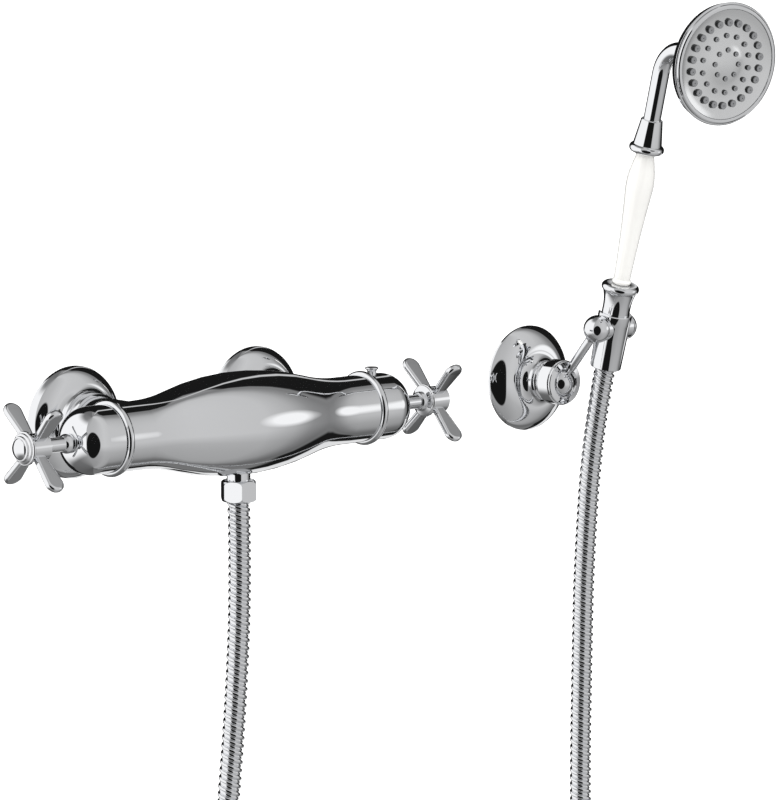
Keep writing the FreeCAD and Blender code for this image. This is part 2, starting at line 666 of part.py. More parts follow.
def neck_tube():
    """The tube rises along the grip, bends forwards and meets the back of the head."""
    rise, ahead, corner = neck_lines()
    turn = math.acos(rise.dot(ahead))
    cut = NECK_BEND * math.tan(turn / 2.0)
    start = corner + rise * (CORE_END - NECK_CORNER)
    bend_in = corner - rise * cut
    bend_out = corner + ahead * cut
    inwards = (ahead - rise).normalize()
    middle = corner + inwards * (NECK_BEND / math.cos(turn / 2.0) - NECK_BEND)
    end = corner + ahead * (FACE_REACH - TUBE_SEAT)
    path = Part.Wire([
        Part.LineSegment(start, bend_in).toShape(),
        Part.Arc(bend_in, middle, bend_out).toShape(),
        Part.LineSegment(bend_out, end).toShape(),
    ])
    outer = path.makePipeShell([tube_end(start, rise, NECK_RADIUS)], True, False)
    inner = path.makePipeShell([tube_end(start, rise, 4.0)], True, False)
    save("bent_neck_tube", solid(outer.cut(inner)))


TUBE_SEAT = 17.5
NOZZLE_ROWS = ((22, 27.6, 2.4, 0.0), (14, 18.9, 1.8, 0.5), (8, 9.5, 1.8, 0.0))


def nozzles(swell, low, high, taper):
    """One cone for each nozzle, a little wider by swell where it is a hole."""
    cones = []
    for count, circle, radius, phase in NOZZLE_ROWS:
        for k in range(count):
            angle = 2.0 * math.pi * (k + phase) / count
            foot = Vector(circle * math.cos(angle), circle * math.sin(angle), low)
            wide = radius + swell
            if taper:
                cones.append(Part.makeCone(wide, wide * 0.72, high - low, foot, UP))
            else:
                cones.append(Part.makeCylinder(wide, high - low, foot, UP))
    return cones


def spray_head():
    _, ahead, corner = neck_lines()
    place = facing(corner + ahead * FACE_REACH, ahead)
    shell = turned([
        (NECK_RADIUS, -27.0), (6.8, -27.0), (7.4, -26.4), (7.4, -21.0), (8.0, -18.6, 10.6, -17.4),
        (26.0, -13.9, 38.6, -7.6), (FACE_RADIUS, -6.6), (FACE_RADIUS, -2.2), (40.2, -1.6),
        (39.6, -1.6), (39.2, -0.6), (38.4, 0), (36.6, 0), (36.4, -0.4), (36.4, -4.6),
        (34.0, -4.6), (34.0, -6.8), (23.0, -11.0, 10.0, -13.6), (4.0, -14.2),
        (4.0, -TUBE_SEAT), (NECK_RADIUS, -TUBE_SEAT),
    ])
    save("spray_head_shell", moved(shell, place))
    mat = rod(36.2, -4.6, -2.8)
    mat = mat.multiFuse(nozzles(0.0, -3.4, 1.2, True))
    save("nozzle_mat", moved(solid(mat), place))
    plate = rod(36.3, -2.8, -1.0)
    plate = plate.cut(Part.makeCompound(nozzles(0.1, -4.0, 0.5, False)))
    save("spray_face_plate", moved(solid(plate), place))


# Hose: the route runs down from the mixer, round a free loop and up to the hand shower
ROUTE = [
    Vector(0.0, -74.0, -50.5),
    Vector(1.5, -74.0, -100.0),
    Vector(-2.5, -73.5, -180.0),
    Vector(-10.5, -72.5, -262.0),
    Vector(-15.0, -71.0, -350.0),
    Vector(1.0, -68.5, -458.0),
    Vector(84.0, -63.0, -544.0),
    Vector(236.0, -53.5, -544.0),
    Vector(318.0, -48.0, -461.0),
    Vector(333.5, -42.4, -340.0),
    Vector(333.0, -41.3, -274.2),
    Vector(334.2, -41.8, -182.2),
    Vector(334.3, -42.9, -132.2),
    Vector(334.5, -50.05, -42.55),
    Vector(334.5, -62.32, 5.92),
]
# The hose's lengths part in the middle of these runs, counted from the mixer
PARTINGS = (6, 10, 12)
HOSE_NAMES = ("hose_supply_run", "hose_loop_run", "hose_rising_run", "hose_top_run")


def hose_edges():
    """Straight runs with an arc at every point; each parting run is split in its middle."""
    lengths = [(b - a).Length for a, b in zip(ROUTE, ROUTE[1:])]
    arcs = {}
    for k in range(1, len(ROUTE) - 1):
        back = (ROUTE[k - 1] - ROUTE[k]).normalize()
        ahead = (ROUTE[k + 1] - ROUTE[k]).normalize()
        half = (math.pi - back.getAngle(ahead)) / 2.0
        cut = 0.45 * min(lengths[k - 1], lengths[k])
        radius = cut / math.tan(half)
        inwards = (back + ahead).normalize()
        middle = ROUTE[k] + inwards * (radius / math.cos(half) - radius)
        arcs[k] = (ROUTE[k] + back * cut, middle, ROUTE[k] + ahead * cut, radius)
    pieces = [[]]
    here = ROUTE[0]
    for k in range(len(ROUTE) - 1):
        last = k == len(ROUTE) - 2
        stop = ROUTE[-1] if last else arcs[k + 1][0]
        if k in PARTINGS:
            half_way = (here + stop) * 0.5
            pieces[-1].append(("line", here, half_way))
            pieces.append([])
            here = half_way
        pieces[-1].append(("line", here, stop))
        if not last:
            pieces[-1].append(("arc",) + arcs[k + 1][:3])
            here = arcs[k + 1][2]
    print("arc radii", [round(arcs[k][3]) for k in sorted(arcs)])
    print("runs", [round(length, 1) for length in lengths])
    return pieces


def hose_path(piece):
    edges = []
    for step in piece:
        if step[0] == "line":
            edges.append(Part.LineSegment(step[1], step[2]).toShape())
        else:
            edges.append(Part.Arc(step[1], step[2], step[3]).toShape())
    return Part.Wire(edges)


def stations(path):
    """Points and directions along a path, looked up by the distance from its start."""
    reach = []
    done = 0.0
    for edge in path.OrderedEdges:
        reach.append((done, edge))
        done += edge.Length

    def at(distance):
        start, edge = [pair for pair in reach if pair[0] <= distance + 1e-9][-1]
        along = edge.getParameterByLength(min(distance - start, edge.Length))
        return edge.valueAt(along), edge.tangentAt(along)

    return done, at


def hose_circle(point, direction, radius):
    """A circle square to the hose whose own X axis keeps to one side of it."""
    side = Vector(0, 1, 0).cross(direction).normalize()
    turn = Rotation(side, direction.cross(side), direction, "ZXY")
    circle = Part.makeCircle(radius)
    circle.Placement = Placement(point, turn)
    return Part.Wire([circle])


def ribbed(path):
    """A ribbed tube: each rib is a rise, a crown and a fall between narrow bands."""
    outer = HOSE_DIAMETER / 2.0
    inner = outer - 0.9
    length, at = stations(path)
    end = HOSE_DIAMETER
    count = int(round(length / RIB_PITCH))
    pitch = length / count
    wires = []
    for k in range(count):
        for share, radius in ((0.10, inner), (0.24, outer), (0.76, outer), (0.90, inner)):
            point, direction = at((k + share) * pitch)
            wires.append(hose_circle(point, direction, radius))
    first, towards = at(0.0)
    wires.insert(0, hose_circle(first, towards, inner))
    last, onwards = at(length)
    wires.append(hose_circle(last, onwards, inner))
    tube = Part.makeLoft(wires, True, True)
    bore = path.makePipeShell([hose_circle(first, towards, HOSE_BORE_RADIUS)], True, False)
    return solid(tube.cut(bore)), length, count


def hose():
    total = 0.0
    ribs = 0
    for name, piece in zip(HOSE_NAMES, hose_edges()):
        path = hose_path(piece)
        tube, length, count = ribbed(path)
        total += length
        ribs += count
        mean = tube.Volume / length
        print(name, "length", round(length, 1), "ends", round(piece[0][2].distanceToPoint(piece[0][1]), 1),
              round(piece[-1][-1].distanceToPoint(piece[-1][-2]), 1), "mean section", round(mean, 1))
        save(name, tube)
    print("hose length", round(total, 1), "ribs", ribs)


def build():
    os.makedirs("parts", exist_ok=True)
    mixer_body()
    stop_rings()
    wall_connections()
    outlet()
    thermostat()
    shut_off()
    flow_group()
    temperature_group()
    bracket()
    arm_group()
    holder_group()
    handset_group()
    hose()


build()
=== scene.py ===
# %% [markdown]
# This lesson dresses a wall-mounted shower mixer with its hand shower. The measured solids come in
# first as a fixed frame, and every dressed piece is placed in that same frame.

# %% Load the frame
import math
import bmesh
import bpy
from mathutils import Matrix, Vector


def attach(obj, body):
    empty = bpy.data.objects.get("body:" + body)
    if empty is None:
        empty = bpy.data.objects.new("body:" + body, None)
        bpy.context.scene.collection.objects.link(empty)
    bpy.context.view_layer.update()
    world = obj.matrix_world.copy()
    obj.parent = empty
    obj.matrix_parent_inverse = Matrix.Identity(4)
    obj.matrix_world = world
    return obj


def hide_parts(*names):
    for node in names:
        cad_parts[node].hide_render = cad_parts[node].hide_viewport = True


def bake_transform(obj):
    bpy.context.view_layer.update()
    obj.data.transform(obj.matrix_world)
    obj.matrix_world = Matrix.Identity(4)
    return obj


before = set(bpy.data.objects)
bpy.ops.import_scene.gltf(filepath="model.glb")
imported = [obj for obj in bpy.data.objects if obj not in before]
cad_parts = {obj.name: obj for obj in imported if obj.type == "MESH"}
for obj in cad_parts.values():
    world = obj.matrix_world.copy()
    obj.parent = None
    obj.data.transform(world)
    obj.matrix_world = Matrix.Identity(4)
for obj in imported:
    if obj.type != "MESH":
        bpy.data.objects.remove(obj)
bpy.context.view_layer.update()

# %% [markdown]
# The picture was taken from the left of the mixer and a little above it, with a long lens, so the
# camera stands over three metres away. A long lens keeps the mixer and the hand shower at nearly
# the same scale.

# %% Camera
CAMERA_AT = Vector((-2.0598, -2.5040, 0.4412))
LOOKS_ALONG = Vector((0.6632, 0.7366, -0.1328))
LENS_MM, SENSOR_MM = 229.725, 36.0
camera = bpy.data.objects.new("camera", bpy.data.cameras.new("camera"))
camera.data.sensor_fit = "VERTICAL"
camera.data.sensor_height = SENSOR_MM
camera.data.lens = LENS_MM
camera.location = CAMERA_AT
camera.rotation_euler = LOOKS_ALONG.to_track_quat("-Z", "Y").to_euler()
bpy.context.collection.objects.link(camera)
bpy.context.scene.camera = camera
bpy.context.scene.view_settings.view_transform = "Standard"
print("camera", tuple(round(x, 3) for x in camera.location))

# %% [markdown]
# A material is a small graph of nodes. One function adds a node with its settings and its links, and
# another turns the usual hex colours into the linear values that Blender works with.

# %% Node and colour helpers
def add(tree, kind, settings=None, links=None):
    """Add a node; a setting is one of its own properties or the value of an input."""
    made = tree.nodes.new(kind)
    for name, value in (settings or {}).items():
        if isinstance(name, str) and hasattr(made, name):
            setattr(made, name, value)
        else:
            made.inputs[name].default_value = value
    for name, source in (links or {}).items():
        tree.links.new(source, made.inputs[name])
    return made


def colour(hex_code):
    """An sRGB hex colour as linear red, green, blue and alpha."""
    values = [int(hex_code[k:k + 2], 16) / 255.0 for k in (0, 2, 4)]
    linear = [v / 12.92 if v <= 0.04045 else ((v + 0.055) / 1.055) ** 2.4 for v in values]
    return (*linear, 1.0)


# %% [markdown]
# Chrome is a mirror, so it looks like whatever stands round it. The studio of this picture is a
# large white screen on the left, a black opening behind the camera, a grey wall on the right that
# darkens towards the back, a small white lamp in front of that wall, and a black back wall over a
# white floor. The world's shader builds it from the direction alone, and only reflections see it:
# the camera sees plain white, and dull surfaces get one even white light.

# %% Studio world
SCREEN_WHITE, FLOOR_WHITE, STRIP_GREY = 1.0, 0.80, 0.62
OPENING_BLACK, WALL_BLACK = 0.008, 0.010
EVEN_LIGHT = 1.65
WALL_BOW = -0.0062
DEGREES = 180.0 / math.pi
world = bpy.data.worlds.new("studio")
bpy.context.scene.world = world
world.use_nodes = True
sky = world.node_tree
sky.nodes.clear()


def maths(operation, *values):
    """The result of one arithmetic node, fed with numbers or with other nodes' results."""
    made = add(sky, "ShaderNodeMath", {"operation": operation})
    for socket, value in zip(made.inputs, values):
        if isinstance(value, float):
            socket.default_value = value
        else:
            sky.links.new(value, socket)
    return made.outputs[0]


def times(first, second):
    return maths("MULTIPLY", first, second)


def span(value, low, high, soft):
    """1 where a value lies between low and high, fading to 0 over soft at each end."""
    rise = add(sky, "ShaderNodeMapRange", {"interpolation_type": "SMOOTHSTEP", "From Min": low - soft,
                                           "From Max": low + soft}, {"Value": value})
    fall = add(sky, "ShaderNodeMapRange", {"interpolation_type": "SMOOTHSTEP", "From Min": high - soft,
                                           "From Max": high + soft, "To Min": 1.0, "To Max": 0.0},
               {"Value": value})
    return times(rise.outputs["Result"], fall.outputs["Result"])


def over(base, level, share):
    """Blend a plain level over a base by a share from 0 to 1."""
    mixed = add(sky, "ShaderNodeMix", {"data_type": "FLOAT"})
    sky.links.new(share, mixed.inputs[0])
    sky.links.new(base, mixed.inputs[2])
    mixed.inputs[3].default_value = level
    return mixed.outputs[0]


def grades(value, low, high, stops):
    """A ramp from low to high, with stops of (value, brightness)."""
    share = add(sky, "ShaderNodeMapRange", {"From Min": low, "From Max": high}, {"Value": value})
    ramp = add(sky, "ShaderNodeValToRGB", None, {"Fac": share.outputs["Result"]})
    points = ramp.color_ramp.elements
    while len(points) < len(stops):
        points.new(0.5)
    for point, (at, level) in zip(points, stops):
        point.position = (at - low) / (high - low)
        point.color = (level, level, level, 1.0)
    return ramp.outputs["Color"]


def oval(middle, half, edge):
    """1 inside an ellipse of bearing and height, fading to 0 over a share of its size."""
    shares = [add(sky, "ShaderNodeMapRange",
                  {"clamp": False, "From Min": at, "From Max": at + size}, {"Value": value})
              for value, at, size in zip((bearing, height), middle, half)]
    point = add(sky, "ShaderNodeCombineXYZ", None, {k: shares[k].outputs["Result"] for k in (0, 1)})
    length = add(sky, "ShaderNodeVectorMath", {"operation": "LENGTH"}, {0: point.outputs[0]})
    far = length.outputs["Value"]
    inside = add(sky, "ShaderNodeMapRange", {"From Min": 1.0 - edge, "From Max": 1.0 + edge,
                                             "To Min": 1.0, "To Max": 0.0}, {"Value": far})
    return inside.outputs["Result"]


direction = add(sky, "ShaderNodeTexCoord").outputs["Generated"]
to_camera = math.atan2(-LOOKS_ALONG.y, -LOOKS_ALONG.x)
turned_view = add(sky, "ShaderNodeMapping", {"Rotation": (0.0, 0.0, -to_camera)},
                  {"Vector": direction})
parts = add(sky, "ShaderNodeSeparateXYZ", None, {"Vector": turned_view.outputs["Vector"]})
# Bearing: 0 towards the camera, positive to the right; height: above the horizon; both in degrees
bearing = times(maths("ARCTAN2", parts.outputs["Y"], parts.outputs["X"]), DEGREES)
height = times(maths("ARCSINE", parts.outputs["Z"]), DEGREES)

# On the right the walls bow outwards above and below the horizon
bowed = maths("ADD", bearing, times(times(height, height), WALL_BOW))
wall = grades(bowed, -180.0, 180.0, [
    (-180.0, 0.16), (-90.0, 0.24), (-40.0, 0.48), (0.0, 0.52), (45.0, 0.62), (80.0, 0.58),
    (94.0, 0.46), (104.0, 0.29), (112.0, 0.21), (130.0, 0.27), (180.0, 0.27),
])
lowering = grades(height, -90.0, 90.0, [
    (-90.0, 0.60), (-46.0, 0.68), (-30.0, 0.75), (-12.0, 1.0), (90.0, 1.0),
])
studio = times(wall, lowering)
screen = times(span(bearing, -132.0, -35.5, 1.5), span(height, -30.0, 56.0, 12.0))
studio = over(studio, SCREEN_WHITE, screen)
studio = over(studio, SCREEN_WHITE, oval((92.0, 3.5), (12.0, 10.0), 0.30))
studio = over(studio, OPENING_BLACK, oval((-3.5, -9.0), (31.0, 41.0), 0.04))
left_back = times(span(bearing, -200.0, -134.0, 2.0), span(height, -41.0, 60.0, 2.0))
studio = over(studio, WALL_BLACK, left_back)
right_back = times(span(bowed, 118.0, 400.0, 2.5), span(height, -47.0, 62.0, 2.0))
studio = over(studio, WALL_BLACK, right_back)
# The white floor behind the object ends in a line that drops to the right
over_line = maths("ADD", height, maths("MULTIPLY_ADD", bearing, 0.33, -15.3))
far_floor = times(times(span(over_line, 0.0, 200.0, 1.5), span(height, -60.0, -21.0, 2.0)),
                  span(bearing, 126.0, 200.0, 2.0))
studio = over(studio, FLOOR_WHITE, far_floor)
left_floor = times(span(bearing, -200.0, -171.0, 1.0), span(height, -30.0, -15.0, 1.5))
studio = over(studio, SCREEN_WHITE, left_floor)
# A light strip climbs the back wall and leans to the left
lean = maths("MULTIPLY_ADD", height, 0.22, bearing)
light_line = times(span(lean, 173.2, 176.8, 1.0), span(height, 12.0, 75.0, 3.0))
studio = over(studio, STRIP_GREY, light_line)

seen = add(sky, "ShaderNodeLightPath")
mirrored = add(sky, "ShaderNodeBackground", {"Strength": 1.0}, {"Color": studio})
plain = add(sky, "ShaderNodeBackground", {"Color": (1, 1, 1, 1), "Strength": EVEN_LIGHT})
chosen = add(sky, "ShaderNodeMixShader", None, {
    0: seen.outputs["Is Glossy Ray"], 1: plain.outputs[0], 2: mirrored.outputs[0]})
add(sky, "ShaderNodeOutputWorld", None, {"Surface": chosen.outputs[0]})
print("studio nodes", len(sky.nodes))

# %% [markdown]
# The floor is a wide pale disc far below the hose. It glows a little for the camera, so that it
# reads as white, and still takes the object's soft shadow. Mirrors don't see it, because the
# studio's own floor is in the world's pattern.

# %% Floor
FLOOR_RADIUS, FLOOR_LEVEL, FLOOR_GLOW = 90.0, -0.75, 0.62
floor_mesh = bmesh.new()
bmesh.ops.create_circle(floor_mesh, cap_ends=True, segments=96, radius=FLOOR_RADIUS,
                        matrix=Matrix.Translation((0, 0, FLOOR_LEVEL)))
floor_data = bpy.data.meshes.new("floor")
floor_mesh.to_mesh(floor_data)
floor_mesh.free()
floor = bpy.data.objects.new("floor", floor_data)
floor.visible_glossy = False
bpy.context.collection.objects.link(floor)
pale = bpy.data.materials.new("pale_floor_paint")
pale.use_nodes = True
tree = pale.node_tree
tree.nodes.clear()
path = add(tree, "ShaderNodeLightPath")
paint = add(tree, "ShaderNodeBsdfDiffuse", {"Color": (0.5, 0.5, 0.5, 1)})
glow = add(tree, "ShaderNodeEmission", {"Color": (1, 1, 1, 1)})
glow_share = add(tree, "ShaderNodeMath", {"operation": "MULTIPLY", 1: FLOOR_GLOW},
                 {0: path.outputs["Is Camera Ray"]})
tree.links.new(glow_share.outputs[0], glow.inputs["Strength"])
both = add(tree, "ShaderNodeAddShader", None, {0: paint.outputs[0], 1: glow.outputs[0]})
add(tree, "ShaderNodeOutputMaterial", None, {"Surface": both.outputs[0]})
floor_data.materials.append(pale)
print("floor at", FLOOR_LEVEL, "m")

# %% [markdown]
# Chrome plate is a thin bright layer over polished brass. It reads as a clean mirror with the
# faintest haze, and water leaves slightly duller patches a few centimetres wide, so the roughness
# wanders a little. The hose is wound from plated strip and is a little hazier, and the spray face
# is brushed round before plating, which spreads its reflections.

# %% Plated metals
def surface(name):
    """A new material with a Principled shader, its graph and the object's own coordinates."""
    made = bpy.data.materials.new(name)
    made.use_nodes = True
    graph = made.node_tree
    place = add(graph, "ShaderNodeTexCoord").outputs["Object"]
    return made, graph, graph.nodes["Principled BSDF"], place


def plated(name, tint, smooth, hazy, patch_mm):
    made, graph, shader, place = surface(name)
    shader.inputs["Base Color"].default_value = colour(tint)
    shader.inputs["Metallic"].default_value = 1.0
    water = add(graph, "ShaderNodeTexNoise", {"Scale": 1000.0 / patch_mm, "Detail": 3.0},
                {"Vector": place})
    haze = add(graph, "ShaderNodeMapRange", {"From Min": 0.4, "From Max": 0.75, "To Min": smooth,
                                             "To Max": hazy}, {"Value": water.outputs["Fac"]})
    graph.links.new(haze.outputs["Result"], shader.inputs["Roughness"])
    return made


chrome = plated("bright_chrome_plate", "F3F4F6", 0.015, 0.04, 24.0)
hose_chrome = plated("chromed_hose_strip", "F1F2F4", 0.02, 0.06, 9.0)
face_chrome = plated("satin_face_plate_chrome", "F1F2F3", 0.13, 0.18, 6.0)
brass = plated("machined_brass", "D9B36A", 0.22, 0.34, 3.0)
steel = plated("plain_spring_steel", "A9ABAE", 0.25, 0.38, 2.0)

# %% [markdown]
# Porcelain is white clay under a clear glaze: a bright body with a sharp, wet-looking gloss. The
# glaze pools by tenths of a millimetre, which shows only as a slow waver in the reflection. The
# moulded pieces are plainer: rubber is dull and nearly black, acetal and the lapped ceramic white.

# %% Glaze and moulded materials
def moulded(name, tint, other, rough, grain_mm, relief, coat=0.0):
    made, graph, shader, place = surface(name)
    grain = add(graph, "ShaderNodeTexNoise", {"Scale": 1000.0 / grain_mm, "Detail": 4.0},
                {"Vector": place})
    blend = add(graph, "ShaderNodeMix", {"data_type": "RGBA", "factor_mode": "UNIFORM"},
                {0: grain.outputs["Fac"]})
    blend.inputs[6].default_value = colour(tint)
    blend.inputs[7].default_value = colour(other)
    graph.links.new(blend.outputs[2], shader.inputs["Base Color"])
    shader.inputs["Roughness"].default_value = rough
    shader.inputs["Coat Weight"].default_value = coat
    shader.inputs["Coat Roughness"].default_value = 0.03
    bump = add(graph, "ShaderNodeBump", {"Strength": 0.3, "Distance": relief},
               {"Height": grain.outputs["Fac"]})
    graph.links.new(bump.outputs["Normal"], shader.inputs["Normal"])
    return made


porcelain = moulded("glazed_white_porcelain", "F8F7F4", "F4F3EF", 0.12, 30.0, 0.00002, coat=1.0)
rubber = moulded("black_washer_rubber", "1D1D1E", "262627", 0.60, 0.8, 0.00003)
acetal = moulded("white_acetal", "EDECE8", "E6E5E0", 0.35, 2.0, 0.00002)
ceramic = moulded("lapped_white_ceramic", "F2F1EE", "ECEBE7", 0.10, 1.5, 0.00001)
print("materials", len(bpy.data.materials))

# %% [markdown]
# The hose is one length of metal tube that hangs from the mixer's nut, swings round a free loop and
# rises to the hand shower. Its line is a smooth NURBS curve with the route's points as its control
# points, which is how a hose under its own weight looks. The tube follows points read from that
# curve. It is kept as four lengths in place of the hose's four solids; the first is attached to the
# mixer's body, and the others stay where they are made.

# %% Hose line
ROUTE = [
    (0.0, -0.0740, -0.0505), (0.0015, -0.0740, -0.1000), (-0.0025, -0.0735, -0.1800),
    (-0.0105, -0.0725, -0.2620), (-0.0150, -0.0710, -0.3500), (0.0010, -0.0685, -0.4580),
    (0.0840, -0.0630, -0.5440), (0.2360, -0.0535, -0.5440), (0.3180, -0.0480, -0.4610),
    (0.3335, -0.0424, -0.3400), (0.3330, -0.0413, -0.2742), (0.3342, -0.0418, -0.1822),
    (0.3343, -0.0429, -0.1322), (0.3345, -0.05005, -0.04255), (0.3345, -0.06232, 0.00592),
]
PARTINGS = (6, 10, 12)
WINDING_PITCH = 0.0052
ROWS = 16
STEP = WINDING_PITCH / ROWS

line_data = bpy.data.curves.new("hose_line", "CURVE")
line_data.dimensions = "3D"
line_data.resolution_u = 48
spline = line_data.splines.new("NURBS")
spline.points.add(len(ROUTE) - 1)
for point, at in zip(spline.points, ROUTE):
    point.co = (*at, 1.0)
spline.order_u = 3
spline.use_endpoint_u = True
line = bpy.data.objects.new("hose_line", line_data)
bpy.context.collection.objects.link(line)
bpy.context.view_layer.update()
line_mesh = bpy.data.meshes.new_from_object(
    line.evaluated_get(bpy.context.evaluated_depsgraph_get()))
line_points = [v.co.copy() for v in line_mesh.vertices]
bpy.data.objects.remove(line)
reach = [0.0]
for here, there in zip(line_points, line_points[1:]):
    reach.append(reach[-1] + (there - here).length)
HOSE_LENGTH = reach[-1]
print("hose line", len(line_points), "points,", round(HOSE_LENGTH, 4), "m")

# %% [markdown]
# The tube needs a frame at every third of a millimetre: a point, the direction of the hose, and a side
# that turns as little as possible, so that the winding doesn't twist. The frames are made once for
# the whole hose, and each length takes its share, so the winding runs on from one to the next.

# %% Hose frames
def line_point(distance):
    """The point at a distance along the hose."""
    distance = min(max(distance, 0.0), HOSE_LENGTH)
    low, high = 0, len(reach) - 1
    while high - low > 1:
        middle = (low + high) // 2
        if reach[middle] <= distance:
            low = middle
        else:
            high = middle
    share = (distance - reach[low]) / (reach[high] - reach[low])
    return line_points[low].lerp(line_points[high], share)


stations = int(round(HOSE_LENGTH / STEP))
frames = []
side = Vector((1, 0, 0))
for k in range(stations + 1):
    s = HOSE_LENGTH * k / stations
    ahead = (line_point(s + 0.002) - line_point(s - 0.002)).normalized()
    side = (side - ahead * side.dot(ahead)).normalized()
    frames.append((line_point(s), side.copy(), ahead.cross(side)))
marks = [0]
for k in PARTINGS:
    parting = (Vector(ROUTE[k]) + Vector(ROUTE[k + 1])) / 2
    marks.append(min(range(stations + 1), key=lambda j: (frames[j][0] - parting).length))
marks.append(stations)
print("lengths", [round((b - a) * HOSE_LENGTH / stations, 4) for a, b in zip(marks, marks[1:])])

# %% [markdown]
# The strip of this hose is wound in two starts, and each pitch shows a round band that stands proud
# and one that lies deeper, with a steep step between them. A grid is wrapped round the line: its
# short way goes round the hose. Each column is one row behind the last, and one turn of the columns
# is two pitches, so the grid's rows run along the bands and the grooves stay crisp.

# %% Hose tube
COLUMNS = 2 * ROWS
PROUD, SUNK, SAG = 0.00725, 0.00630, 0.00060


def winding(row):
    """The radius on a row and its shift along the hose: a proud and a sunk band with steep steps."""
    top = PROUD if row % ROWS < ROWS / 2 else SUNK
    share = 2.0 * (row % (ROWS // 2)) / (ROWS // 2 - 1) - 1.0
    return top - SAG * abs(share) ** 3.5, 0.4 * STEP * share


def hose_length(name, first, last):
    tube = bmesh.new()
    rows = last - first + COLUMNS
    bmesh.ops.create_grid(tube, x_segments=rows, y_segments=COLUMNS, size=1.0)
    for vertex in tube.verts:
        row = first + int(round((vertex.co.x + 1.0) / 2.0 * rows))
        column = int(round((vertex.co.y + 1.0) / 2.0 * COLUMNS))
        k = min(max(row - column, first), last)
        angle = 2.0 * math.pi * column / COLUMNS
        centre, side, up = frames[k]
        away = side * math.cos(angle) + up * math.sin(angle)
        radius, shift = winding(k + column)
        vertex.co = centre + away * radius + side.cross(up) * (shift if first < k < last else 0.0)
    bmesh.ops.remove_doubles(tube, verts=tube.verts, dist=1e-6)
    bmesh.ops.holes_fill(tube, edges=[e for e in tube.edges if e.is_boundary], sides=0)
    bmesh.ops.recalc_face_normals(tube, faces=tube.faces)
    data = bpy.data.meshes.new(name)
    tube.to_mesh(data)
    tube.free()
    data.shade_smooth()
    data.set_sharp_from_angle(angle=math.radians(50))
    data.materials.append(hose_chrome)
    made = bpy.data.objects.new(name, data)
    bpy.context.collection.objects.link(made)
    centre_line = [frames[k][0] for k in range(first, last, 8)] + [frames[last][0]]
    return made, centre_line


HOSE_NODES = ("hose_supply_run", "hose_loop_run", "hose_rising_run", "hose_top_run")
RIDES = ((None, "root"), ("root", "arm"), ("arm", "holder"), ("holder", "handset"))
for node, (lower, upper), first, last in zip(HOSE_NODES, RIDES, marks, marks[1:]):
    tube, centre_line = hose_length("metal_" + node, first, last)
    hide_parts(node)
    start, end = frames[first][0], frames[last][0]
    if lower is None:
        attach(tube, upper)
    else:
        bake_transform(tube)
    print(tube.name, len(tube.data.polygons), "faces")

# %% [markdown]
# Nearly every other piece of a mixer is turned on a lathe, so it is made as a turner would: an
# outline of half the section is spun about its own axis. The outline's corners and arcs are given
# in millimetres, and the finished shape is carried to its place on the mixer.

# %% Outlines
def arc(here, middle, there):
    """Points on the circle through three points, from the first to the last."""
    (ax, ay), (bx, by), (cx, cy) = here, middle, there
    double = 2.0 * (ax * (by - cy) + bx * (cy - ay) + cx * (ay - by))
    sa, sb, sc = ax * ax + ay * ay, bx * bx + by * by, cx * cx + cy * cy
    ux = (sa * (by - cy) + sb * (cy - ay) + sc * (ay - by)) / double
    uy = (sa * (cx - bx) + sb * (ax - cx) + sc * (bx - ax)) / double
    radius = math.hypot(ax - ux, ay - uy)
    first = math.atan2(ay - uy, ax - ux)
    mid = (math.atan2(by - uy, bx - ux) - first + math.pi) % (2 * math.pi) - math.pi
    last = (math.atan2(cy - uy, cx - ux) - first) % (2 * math.pi)
    if mid < 0:
        last -= 2 * math.pi
    count = max(5, math.ceil(abs(last) / math.radians(5.0)))
    return [(ux + radius * math.cos(first + last * k / count),
             uy + radius * math.sin(first + last * k / count)) for k in range(1, count + 1)]


def outline(steps):
    """A step is (radius, height), or (mid radius, mid height, radius, height) for an arc."""
    points = [tuple(steps[0])]
    for step in steps[1:]:
        there = (step[-2], step[-1])
        points += arc(points[-1], (step[0], step[1]), there) if len(step) == 4 else [there]
    return points


def crown(radius, low, top):
    """The step that ends an outline in a round crown on the axis."""
    rise = top - low
    ball = (radius ** 2 + rise ** 2) / (2.0 * rise)
    half = math.asin(radius / ball) / 2.0
    return (ball * math.sin(half), top - ball * (1 - math.cos(half)), 0, top)


# %% [markdown]
# An outline is spun in millimetres, in its own axes, and then carried to its place in metres. Each
# place is an origin and the direction in which the piece's own axis points.

# %% Turning and placing
MM = 0.001


def facing(origin, direction):
    """Millimetres along a piece's own Z axis become metres along a direction from an origin."""
    turn = Vector((0, 0, 1)).rotation_difference(Vector(direction)).to_matrix().to_4x4()
    return Matrix.Translation(Vector(origin) * MM) @ turn @ Matrix.Scale(MM, 4)


def turned(steps, place, rounds=96):
    points = outline(steps)
    shell = bmesh.new()
    corners = [shell.verts.new((r, 0, z)) for r, z in points]
    for pair in zip(corners, corners[1:]):
        shell.edges.new(pair)
    if points[0][0] > 0 or points[-1][0] > 0:
        shell.edges.new((corners[-1], corners[0]))
    bmesh.ops.spin(shell, geom=shell.verts[:] + shell.edges[:], cent=(0, 0, 0), axis=(0, 0, 1),
                   angle=2 * math.pi, steps=rounds, use_merge=True)
    bmesh.ops.remove_doubles(shell, verts=shell.verts, dist=1e-4)
    bmesh.ops.transform(shell, matrix=place, verts=shell.verts)
    return shell


# %% [markdown]
# A piece may be several closed shells that overlap, as a casting's branches run into its barrel.
# They are joined in one mesh, smoothed except at real corners, and given a narrow rounding at those
# corners, because plated edges are never razor sharp: the rounding catches a thin line of light.

